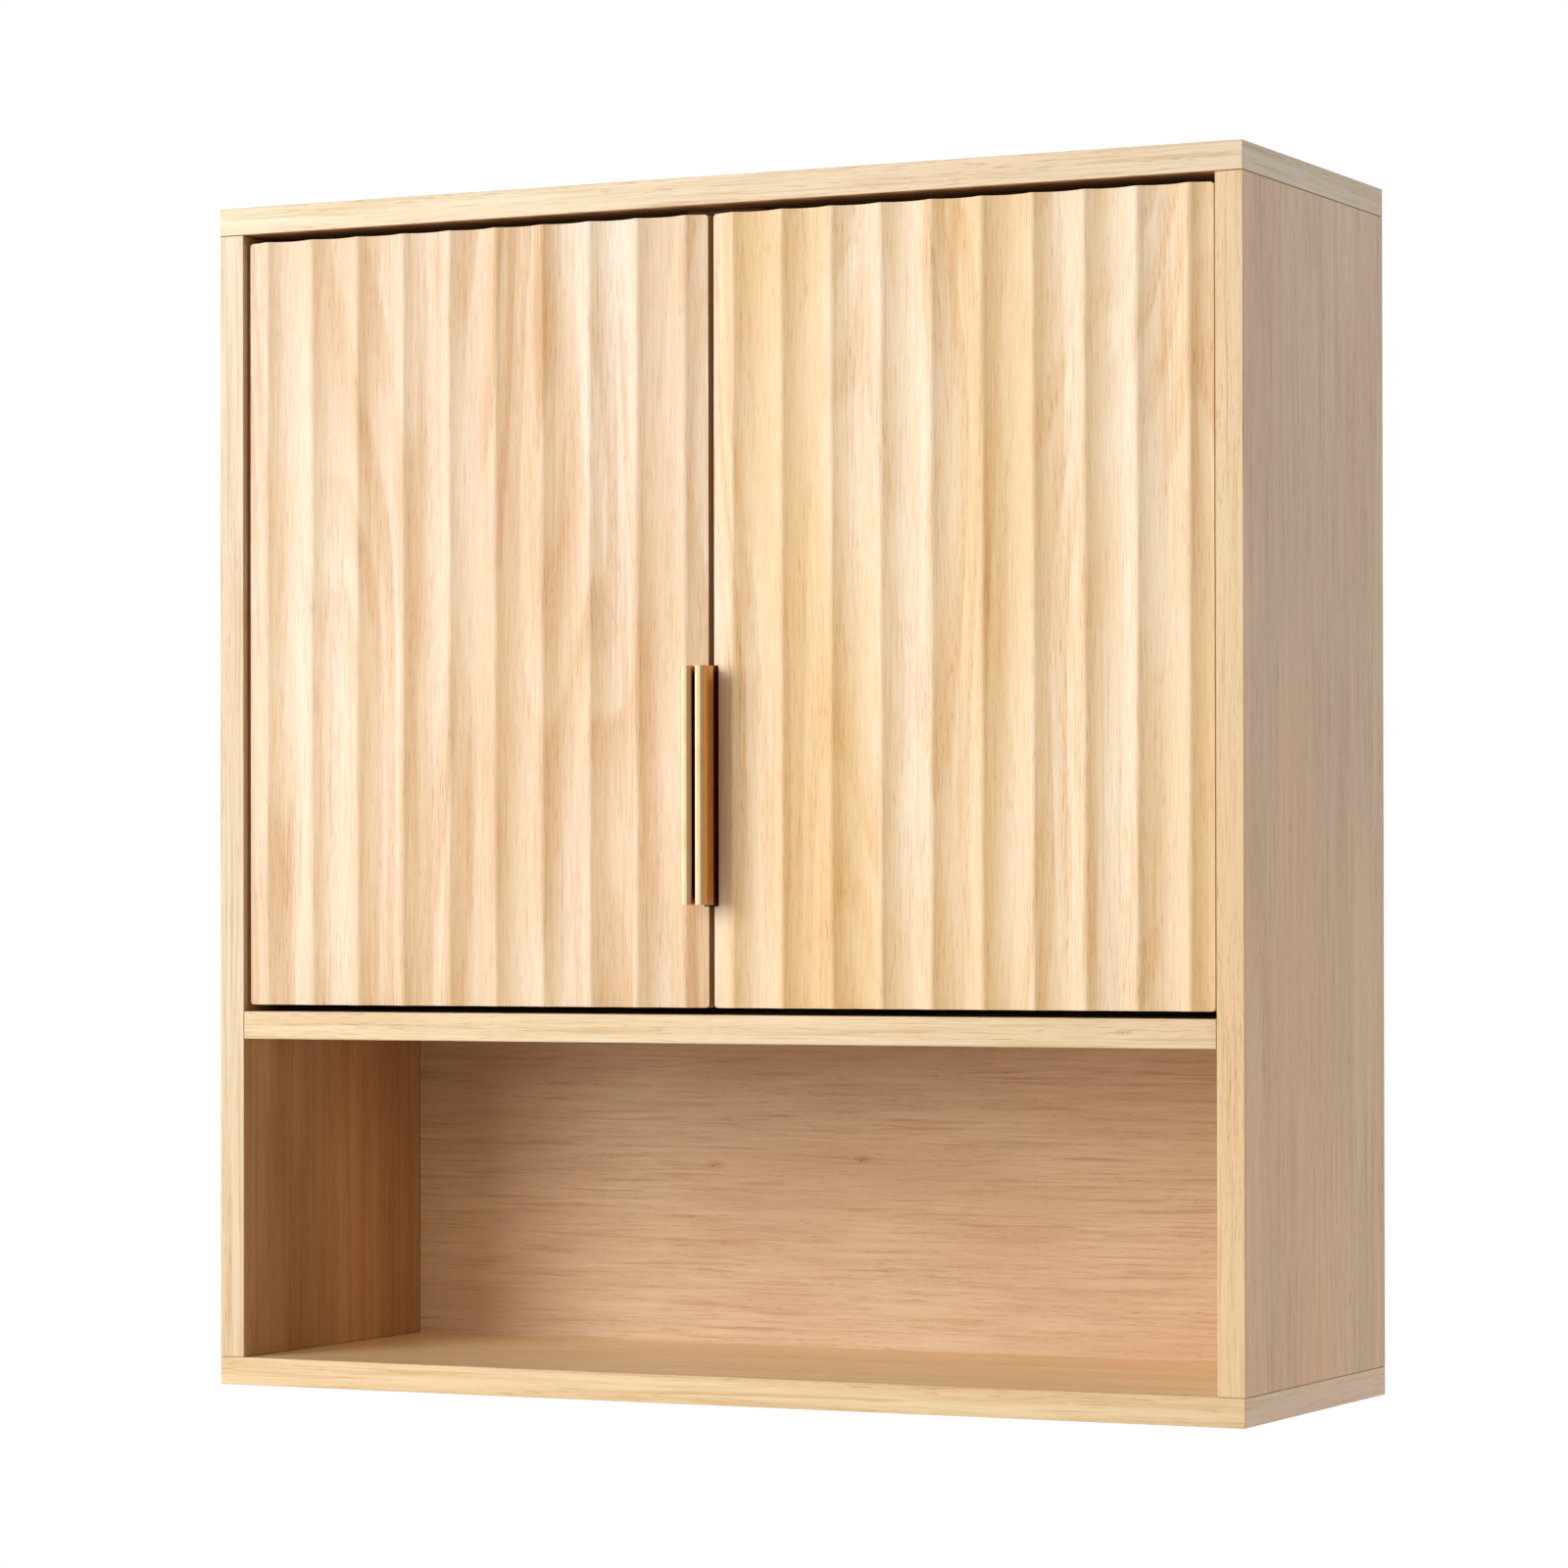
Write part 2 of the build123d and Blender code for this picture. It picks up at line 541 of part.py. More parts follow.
for name, side in SIDES.items():
    save(f"{name}_hanger_plate", at_side(hanger_plate(), side))
    save(f"{name}_door_panel", at_side(door_panel(), side))
    save(f"{name}_handle", at_side(handle(), side))
    save(f"{name}_handle_screws", *[at_side(s, side) for s in handle_screws()])
    save(f"{name}_strike_plate", at_side(strike_plate(), side))
    save(f"{name}_strike_screw", at_side(strike_screw(), side))
    save(f"{name}_cup_screws", *[at_side(s, side) for z in Z_HINGES.values() for s in cup_screws(z)])
    for level, z in Z_HINGES.items():
        save(f"{name}_{level}_hinge_cup", at_side(hinge_cup(z), side))
        save(f"{name}_{level}_hinge_pin", at_side(hinge_pin(z), side))
        save(f"{name}_{level}_hinge_arm", at_side(hinge_arm(z), side))
        save(f"{name}_{level}_hinge_seat", at_side(hinge_seat(z), side))
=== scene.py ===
"""Looks of the hanging wall cabinet: oak boards, fluted doors, brass edge pulls and their fittings."""

import logging
import math
from dataclasses import dataclass, field
from enum import Enum
from typing import Callable, Sequence, Union

import bpy
from mathutils import Matrix, Vector


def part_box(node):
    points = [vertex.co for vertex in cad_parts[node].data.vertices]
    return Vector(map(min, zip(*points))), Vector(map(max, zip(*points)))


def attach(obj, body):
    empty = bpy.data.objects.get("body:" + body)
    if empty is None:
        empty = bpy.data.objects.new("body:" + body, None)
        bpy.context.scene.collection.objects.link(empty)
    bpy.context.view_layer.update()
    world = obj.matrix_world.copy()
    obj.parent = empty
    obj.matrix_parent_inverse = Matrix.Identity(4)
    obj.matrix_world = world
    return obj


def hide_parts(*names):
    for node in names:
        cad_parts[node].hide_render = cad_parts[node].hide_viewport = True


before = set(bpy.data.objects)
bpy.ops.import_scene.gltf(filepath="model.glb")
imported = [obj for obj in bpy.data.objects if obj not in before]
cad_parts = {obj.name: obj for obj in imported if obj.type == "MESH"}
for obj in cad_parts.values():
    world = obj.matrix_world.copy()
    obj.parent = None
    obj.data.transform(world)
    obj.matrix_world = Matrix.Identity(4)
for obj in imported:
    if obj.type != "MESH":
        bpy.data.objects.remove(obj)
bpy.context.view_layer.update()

LOG = logging.getLogger("wall_cabinet")
MM = 0.001
JOINT_ROWS = (-146.0 * MM, -77.0 * MM)  # cam joints and long screws, in Y
SPARE = 10 * MM  # how far a cutter reaches past the wood
DOUBLE = 0.004 * MM  # points closer than this are one
WELD = 0.02 * MM  # ends of lines closer than this are joined
SHARP = math.radians(38)  # edges sharper than this are rounded
CREASE = math.radians(32)  # edges sharper than this stay creased
FLAT = math.radians(0.5)  # faces that turn less than this are one
EXACT = 1e-7  # tolerance of a cut with a plane
ALONG = 0.9  # a direction with more of an axis than this runs along it

Colour = tuple[float, float, float, float]
Point = tuple[float, float, float]
Number = Union["Value", float]

WHITE: Colour = (1.0, 1.0, 1.0, 1.0)


class Side(Enum):
    """The two halves of the cabinet, with the sign that X has on each."""

    LEFT = -1
    RIGHT = 1

    @property
    def word(self) -> str:
        """Name of the side as the nodes spell it."""
        return self.name.lower()


class Level(Enum):
    """The two hinges of a door."""

    LOWER = "lower"
    UPPER = "upper"


class Grain(Enum):
    """The way the grain of a board runs."""

    ALONG_X = "x"
    ALONG_Z = "z"


def tone(red: int, green: int, blue: int) -> Colour:
    """Linear colour of a paint chip.

    Args:
        red: Red of the chip, 0 to 255.
        green: Green of the chip, 0 to 255.
        blue: Blue of the chip, 0 to 255.

    Returns:
        The colour as the shader sockets take it.
    """
    chip = [channel / 255 for channel in (red, green, blue)]
    flat = [c / 12.92 if c <= 0.04045 else ((c + 0.055) / 1.055) ** 2.4 for c in chip]
    return (flat[0], flat[1], flat[2], 1.0)


# Shader maths


class Value:
    """A shader socket that takes part in Python expressions."""

    def __init__(self, graph: "Graph", socket: bpy.types.NodeSocket) -> None:
        """Wrap a socket of the graph."""
        self.graph = graph
        self.socket = socket

    def __add__(self, other: Number) -> "Value":
        """Sum."""
        return self.graph.math("ADD", self, other)

    def __radd__(self, other: Number) -> "Value":
        """Sum with a number on the left."""
        return self.graph.math("ADD", other, self)

    def __sub__(self, other: Number) -> "Value":
        """Difference."""
        return self.graph.math("SUBTRACT", self, other)

    def __rsub__(self, other: Number) -> "Value":
        """Difference from a number on the left."""
        return self.graph.math("SUBTRACT", other, self)

    def __mul__(self, other: Number) -> "Value":
        """Product."""
        return self.graph.math("MULTIPLY", self, other)

    def __rmul__(self, other: Number) -> "Value":
        """Product with a number on the left."""
        return self.graph.math("MULTIPLY", other, self)

    def __pow__(self, other: Number) -> "Value":
        """Power."""
        return self.graph.math("POWER", self, other)

    def __abs__(self) -> "Value":
        """Size without its sign."""
        return self.graph.math("ABSOLUTE", self)

    def fract(self) -> "Value":
        """Part after the decimal point."""
        return self.graph.math("FRACT", self)

    def ease(self, low: float, high: float, start: float = 0.0, end: float = 1.0) -> "Value":
        """Soft step between two levels.

        Args:
            low: Level up to which the result is start.
            high: Level from which the result is end.
            start: Result below the step.
            end: Result above the step.

        Returns:
            The stepped value.
        """
        inputs = {"Value": self, "From Min": low, "From Max": high, "To Min": start, "To Max": end}
        return self.graph.out("ShaderNodeMapRange", {"interpolation_type": "SMOOTHSTEP"}, inputs, "Result")


class Graph:
    """Node tree of one material, or of the world."""

    def __init__(self, tree: bpy.types.NodeTree) -> None:
        """Start from an empty tree."""
        self.tree = tree
        self.tree.nodes.clear()

    def node(self, kind: str, settings: dict | None = None, inputs: dict | None = None) -> bpy.types.Node:
        """Add a node of any kind.

        Args:
            kind: Type of the node.
            settings: Properties, which are set first.
            inputs: Values or links of its sockets, by name or number.

        Returns:
            The new node.
        """
        made = self.tree.nodes.new(kind)
        for key, value in (settings or {}).items():
            setattr(made, key, value)
        for key, value in (inputs or {}).items():
            if isinstance(value, Value):
                self.tree.links.new(value.socket, made.inputs[key])
            else:
                made.inputs[key].default_value = value
        return made

    def out(self, kind: str, settings: dict | None, inputs: dict | None, name: str | int) -> Value:
        """Add a node and wrap one of its outputs."""
        return Value(self, self.node(kind, settings, inputs).outputs[name])

    def math(self, operation: str, *terms: Number) -> Value:
        """Add a Math node over values and numbers."""
        return self.out("ShaderNodeMath", {"operation": operation}, dict(enumerate(terms)), 0)

    def vector_math(self, operation: str, *terms: Value | Point, name: str = "Vector") -> Value:
        """Add a Vector Math node over vectors and points."""
        return self.out("ShaderNodeVectorMath", {"operation": operation}, dict(enumerate(terms)), name)

    def vector(self, x: Number, y: Number, z: Number) -> Value:
        """Vector of three values."""
        return self.out("ShaderNodeCombineXYZ", None, {"X": x, "Y": y, "Z": z}, 0)

    def parts(self, vector: Value) -> tuple[Value, Value, Value]:
        """The three values of a vector."""
        split = self.node("ShaderNodeSeparateXYZ", None, {0: vector})
        return tuple(Value(self, socket) for socket in split.outputs)

    def place(self, kind: str = "Object") -> Value:
        """A coordinate of the surface."""
        return self.out("ShaderNodeTexCoord", None, None, kind)

    def blend(self, share: Number, low: Number, high: Number) -> Value:
        """Mix of two values."""
        return self.out("ShaderNodeMix", {"data_type": "FLOAT"}, {0: share, 2: low, 3: high}, 0)

    def mix(self, share: Number, low: Value | Colour, high: Value | Colour, way: str = "MIX") -> Value:
        """Mix of two colours."""
        settings = {"data_type": "RGBA", "blend_type": way}
        return self.out("ShaderNodeMix", settings, {0: share, 6: low, 7: high}, 2)

    def noise(self, place: Value, detail: float = 2.0, rough: float = 0.5) -> Value:
        """Cloudy value from 0 to 1 over stretched coordinates."""
        inputs = {"Vector": place, "Scale": 1.0, "Detail": detail, "Roughness": rough}
        return self.out("ShaderNodeTexNoise", None, inputs, 0)

    def bump(self, height: Value, depth: float, strength: float = 1.0) -> Value:
        """Normal of a surface with fine relief.

        Args:
            height: Relief from 0 to 1.
            depth: Height of the relief in metres.
            strength: Share of the relief that shows.

        Returns:
            The normal for a shader.
        """
        inputs = {"Strength": strength, "Distance": depth, "Height": height}
        return self.out("ShaderNodeBump", None, inputs, "Normal")

    def surface(self, inputs: dict) -> None:
        """Close the tree with one shader.

        Args:
            inputs: Values, links or plain numbers of the shader's sockets.
        """
        shader = self.node("ShaderNodeBsdfPrincipled", None, inputs)
        self.node("ShaderNodeOutputMaterial", None, {"Surface": Value(self, shader.outputs[0])})


def new_material(name: str) -> tuple[bpy.types.Material, Graph]:
    """Empty material and its graph."""
    material = bpy.data.materials.new(name)
    material.use_nodes = True
    return material, Graph(material.node_tree)


# Finishes


@dataclass(frozen=True)
class Knot:
    """Small dark mark in the grain.

    Attributes:
        centre: Place of the mark in metres.
        reach: Half lengths of the mark along X, Y and Z.
        depth: How dark it is, from 0 to 1.
    """

    centre: Point
    reach: Point
    depth: float


PLAIN: tuple[Point, Point] = ((1.0, 1.0, 1.0), (1.0, 1.0, 1.0))  # tones that change nothing
MIDDLE_Z = -0.29  # about half way up the cabinet


@dataclass(frozen=True)
class BoardOak:
    """Pale oak with fine straight grain, as the carcass boards have it.

    Attributes:
        name: Name of the material.
        grain: The way the grain runs.
        shift: Where this board lies in the pattern, so that no two are alike.
        cream: Light wood.
        tan: Darker bands.
        blush: Slow drift of the wood to pink.
        streak: Fine lines.
        pore: Short dark pores.
        dark: Joint lines.
        raw: Raw board on rear faces.
        chip: Chips in the raw board.
        band: Strength of the bands.
        line: Strength of the fine lines.
        dash: Strength of the pores.
        arch: Strength of the arched growth rings.
        fine: How many times closer the bands stand than usual.
        short: How many times shorter the grain runs than usual.
        wavy: How far the grain sways to the side, in metres.
        shade: Painted shade and light on faces that look into the cabinet, in broad bands, as factors.
        flank: Tones of broad bands on faces that look out to the side, as factors.
        painted_light_by_height: Tone at the top and at the bottom of the cabinet, as factors: painted light,
            lighter and cooler at the top and darker and warmer at the bottom.
        rough: Roughness of the lacquer.
        gloss: Strength of its reflections.
        seams: Ends of the board along its grain, where thin joint lines run.
        knots: Marks in the grain.
    """

    name: str
    grain: Grain
    shift: Point
    cream: Colour = tone(247, 226, 187)
    tan: Colour = tone(236, 204, 158)
    blush: Colour = tone(246, 212, 172)
    streak: Colour = tone(216, 176, 122)
    pore: Colour = tone(178, 134, 86)
    dark: Colour = tone(84, 52, 26)
    raw: Colour = tone(196, 163, 122)
    chip: Colour = tone(174, 138, 98)
    band: float = 0.9
    line: float = 0.6
    dash: float = 0.5
    arch: float = 0.0
    fine: float = 1.0
    short: float = 1.0
    wavy: float = 0.0012
    shade: tuple[Point, Point] = PLAIN
    flank: tuple[Point, Point] = PLAIN
    painted_light_by_height: tuple[Point, Point] = PLAIN
    rough: float = 0.44
    gloss: float = 0.3
    seams: tuple[float, ...] = ()
    knots: tuple[Knot, ...] = ()

    def _axes(self, g: Graph, place: Value, normal: Value) -> tuple[Value, Value, Value]:
        """Coordinates along the grain and across it, on long faces and on ends."""
        x, y, z = g.parts(place)
        if self.grain is Grain.ALONG_Z:
            return z, x, y
        end = abs(g.parts(normal)[0]).ease(0.69, 0.72)
        return g.blend(end, x, y), g.blend(end, y, x), z

    def material(self) -> bpy.types.Material:
        """Build the material.

        Returns:
            The finished material.
        """
        made, g = new_material(self.name)
        normal = g.place("Normal")
        spot = g.place()
        a, b, c = self._axes(g, g.vector_math("ADD", spot, self.shift), normal)
        sway = (g.noise(g.vector(a * 16, b * 30, c * 30), 2.0) - 0.5) * self.wavy
        a, b, c = a * self.short, b + sway, c + sway

        drift = g.noise(g.vector(a * 2.4, b * 14, c * 14), 2.0)
        wander = g.noise(g.vector(a * 1.6, b * 9, c * 9), 2.0) - 0.5
        close = 130 * self.fine
        bands = g.noise(g.vector(a * 4, b * close, c * close), 3.0, 0.6)
        strands = g.noise(g.vector(a * 8, b * 560, c * 560), 2.0, 0.6)
        fibre = g.noise(g.vector(a * 24, b * 1300, c * 1300), 2.0, 0.6)
        pores = g.noise(g.vector(a * 75, b * 2300, c * 2300), 1.0)
        rings = ((b + c + wander * 0.11) * 46).fract()
        arches = rings.ease(0.2, 0.9) * (1 - rings.ease(0.9, 1.0)) * drift.ease(0.4, 0.62)

        wood = g.mix(bands.ease(0.32, 0.7) * self.band, self.cream, self.tan)
        wood = g.mix(drift.ease(0.4, 0.66) * 0.75, wood, self.blush)
        wood = g.mix(arches * self.arch, wood, self.streak)
        wood = g.mix(strands.ease(0.5, 0.72) * self.line, wood, self.streak)
        wood = g.mix(fibre.ease(0.5, 0.75) * self.line * 0.7, wood, self.streak)
        wood = g.mix(pores.ease(0.58, 0.72) * bands.ease(0.36, 0.6) * self.dash, wood, self.pore)
        for knot in self.knots:
            wood = g.mix(self._mark(g, spot, knot), wood, self.pore)
        x, _, z = g.parts(spot)
        nx, ny, nz = g.parts(normal)
        upright = self.grain is Grain.ALONG_Z
        inward = (nx * x if upright else nz * (z - MIDDLE_Z)).ease(-0.1, -0.2)
        outward = (nx * x).ease(0.1, 0.2)
        broad = g.noise(g.vector(a * 1.6, b * 18, c * 18), 3.0, 0.6).ease(0.36, 0.64)
        # Painted light by height: lighter and cooler at the top of the cabinet, darker and warmer at the
        # bottom
        wood = self._tint(g, wood, 1.0, z.ease(0.03, -0.6), self.painted_light_by_height)
        # Painted shade and light on the faces that look into the cabinet
        wood = self._tint(g, wood, inward, broad, self.shade)
        wood = self._tint(g, wood, outward, broad, self.flank)
        for seam in self.seams:
            gap = abs((z if upright else x) - seam).ease(0.2 * MM, 0.5 * MM, 0.7, 0.0)
            wood = g.mix(gap, wood, self.dark)
        chips = g.noise(g.vector(a * 190, b * 420, c * 420), 3.0, 0.7)
        wood = g.mix(ny.ease(0.69, 0.72), wood, g.mix(chips.ease(0.35, 0.7), self.raw, self.chip))

        relief = fibre * 0.5 + (1 - pores.ease(0.6, 0.72)) * 0.5
        g.surface(
            {
                "Base Color": wood,
                "Roughness": bands * 0.16 + self.rough,
                "Specular IOR Level": self.gloss,
                "Normal": g.bump(relief, 0.00006, 0.35),
            }
        )
        return made

    @staticmethod
    def _tint(g: Graph, wood: Value, where: Value | float, along: Value, tones: tuple[Point, Point]) -> Value:
        """Wood times a tone that runs from the first of two factors to the second."""
        if tones == PLAIN:
            return wood
        first, second = ((*factor, 1.0) for factor in tones)
        return g.mix(where, wood, g.mix(1.0, wood, g.mix(along, first, second), "MULTIPLY"))

    def _mark(self, g: Graph, spot: Value, knot: Knot) -> Value:
        """Mask of one mark in the grain."""
        away = g.vector_math("SUBTRACT", spot, knot.centre)
        scaled = g.vector_math("MULTIPLY", away, tuple(1 / reach for reach in knot.reach))
        far = g.vector_math("LENGTH", scaled, name="Value")
        speck = g.noise(g.vector_math("MULTIPLY", scaled, (5, 5, 5)), 3.0)
        return far.ease(0.15, 1.0, 1.0, 0.0) * speck.ease(0.35, 0.7) * knot.depth


@dataclass(frozen=True)
class DoorOak:
    """Solid pale oak of the fluted doors: fine straight fibre, soft bands and flowing growth rings.

    Attributes:
        name: Name of the material.
        shift: Where this door lies in the pattern.
        heart: Where this door lies in the flow of its growth rings.
        cream: Light wood.
        tan: Soft yellow bands.
        blush: Slow drift to pink.
        ring: Growth rings and fine fibre.
        pore: Short dark pores.
        edge: Cut edges of the door.
        flame: Warm brown flames beside the rings.
        rings: How close the growth rings stand.
        figure: Strength of the rings.
        painted_lee_shade: Painted shade on the slopes that look to the right, away from the light, and
            towards the bottom of the door, as a factor.
    """

    name: str
    shift: Point
    heart: tuple[float, float]
    cream: Colour = tone(247, 235, 217)
    tan: Colour = tone(235, 210, 176)
    blush: Colour = tone(236, 211, 178)
    ring: Colour = tone(216, 173, 128)
    pore: Colour = tone(194, 144, 98)
    edge: Colour = tone(168, 122, 78)
    flame: Colour = tone(211, 162, 110)
    rings: float = 1.0
    figure: float = 0.5
    painted_lee_shade: Colour = (1.0, 0.89, 0.71, 1.0)

    def material(self) -> bpy.types.Material:
        """Build the material.

        Returns:
            The finished material.
        """
        made, g = new_material(self.name)
        nx, _, nz = g.parts(g.place("Normal"))
        spot = g.place()
        x, y, z = g.parts(g.vector_math("ADD", spot, self.shift))
        wave = g.noise(g.vector(x * 34, y * 30, z * 7), 3.0, 0.6) - 0.5
        w = x + wave * 0.004
        drift = g.noise(g.vector(x * 13, y * 10, z * 1.8), 2.0)
        patch = g.noise(g.vector(x * 42, y * 30, z * 3), 3.0, 0.6)
        bands = g.noise(g.vector(w * 130, y * 90, z * 2.8), 3.0, 0.6)
        strands = g.noise(g.vector(w * 600, y * 420, z * 13), 3.0, 0.65)
        fibre = g.noise(g.vector(w * 1500, y * 1300, z * 42), 2.0, 0.6)
        pores = g.noise(g.vector(w * 2000, y * 1900, z * 90), 1.0)

        flow = g.noise(g.vector(x * 6.5 + self.heart[0], y * 5, z + self.heart[1]), 2.0, 0.45)
        saw = ((flow * 26 + x * 40 + wave * 0.35) * self.rings).fract()
        late = saw.ease(0.1, 0.8) * (1 - saw.ease(0.84, 1.0))
        fade = g.noise(g.vector(x * 24, y * 24, z * 4.2), 2.0).ease(0.36, 0.66)

        wood = g.mix(drift.ease(0.36, 0.64) * 0.75, self.cream, self.tan)
        wood = g.mix(patch.ease(0.4, 0.7) * 0.6, wood, self.blush)
        wood = g.mix(bands.ease(0.5, 0.78) * fade * 0.75, wood, self.flame)
        wood = g.mix(late * fade * self.figure, wood, self.ring)
        wood = g.mix(strands.ease(0.46, 0.74) * (fade * 0.35 + 0.2), wood, self.ring)
        wood = g.mix(fibre.ease(0.46, 0.74) * 0.4, wood, self.ring)
        wood = g.mix(pores.ease(0.56, 0.7) * (late * fade * 0.4 + bands * 0.4), wood, self.pore)
        # Painted shade: the slopes that look to the right, away from the light, and the lower part of the
        # door are darker and warmer
        low = g.parts(spot)[2].ease(-0.02, -0.42)
        shadow = nx.ease(0.0, 0.45) * (low * 0.25 + 0.5) + low * 0.42
        wood = g.mix(shadow, wood, g.mix(1.0, wood, self.painted_lee_shade, "MULTIPLY"))
        cut = abs(nx).ease(0.8, 0.95) + abs(nz).ease(0.8, 0.95)
        wood = g.mix(cut * 0.75, wood, self.edge)
        relief = fibre * 0.55 + (1 - pores.ease(0.6, 0.72)) * 0.45
        g.surface(
            {
                "Base Color": wood,
                "Roughness": bands * 0.14 + 0.46,
                "Specular IOR Level": 0.3,
                "Normal": g.bump(relief, 0.00007, 0.35),
            }
        )
        return made


@dataclass(frozen=True)
class Metal:
    """Metal with a soft brushed or tumbled surface.

    Attributes:
        name: Name of the material.
        colour: Colour of the clean metal.
        worn: Colour of the dull patches.
        smooth: Roughness of the clean metal.
        dull: Roughness of the dull patches.
        brush: Stretch of the brush lines along X, Y and Z, per metre.
        relief: Strength of the brush lines.
        flank: Colour painted on the faces that look sideways, as painted shade and reflection, or None.
    """

    name: str
    colour: Colour
    worn: Colour
    smooth: float = 0.2
    dull: float = 0.36
    brush: Point = (2600, 2600, 60)
    relief: float = 0.3
    flank: Colour | None = None

    def material(self) -> bpy.types.Material:
        """Build the material.

        Returns:
            The finished material.
        """
        made, g = new_material(self.name)
        x, y, z = g.parts(g.place())
        lines = g.noise(g.vector(x * self.brush[0], y * self.brush[1], z * self.brush[2]), 2.0, 0.6)
        patch = g.noise(g.vector(x * 130, y * 130, z * 70), 3.0, 0.55)
        wear = patch.ease(0.42, 0.72)
        colour = g.mix(wear * 0.7 + lines * 0.15, self.colour, self.worn)
        # Painted shade: the faces that look sideways get a darker colour, standing in for the dark they
        # reflect
        if self.flank:
            colour = g.mix(abs(g.parts(g.place("Normal"))[0]).ease(0.55, 0.95), colour, self.flank)
        g.surface(
            {
                "Base Color": colour,
                "Metallic": 1.0,
                "Roughness": wear * (self.dull - self.smooth) + lines * 0.06 + self.smooth,
                "Normal": g.bump(lines, 0.000012, self.relief),
            }
        )
        return made


@dataclass(frozen=True)
class Moulded:
    """Moulded plastic with a fine matt grain.

    Attributes:
        name: Name of the material.
        colour: Main colour.
        shade: Colour of its faint clouds.
    """

    name: str
    colour: Colour
    shade: Colour

    def material(self) -> bpy.types.Material:
        """Build the material."""
        made, g = new_material(self.name)
        x, y, z = g.parts(g.place())
        pebble = g.noise(g.vector(x * 2400, y * 2400, z * 2400), 2.0)
        cloud = g.noise(g.vector(x * 90, y * 90, z * 90), 2.0)
        g.surface(
            {
                "Base Color": g.mix(cloud.ease(0.35, 0.7), self.colour, self.shade),
                "Roughness": pebble * 0.2 + 0.38,
                "Normal": g.bump(pebble, 0.00002, 0.4),
            }
        )
        return made


# Modelling bench


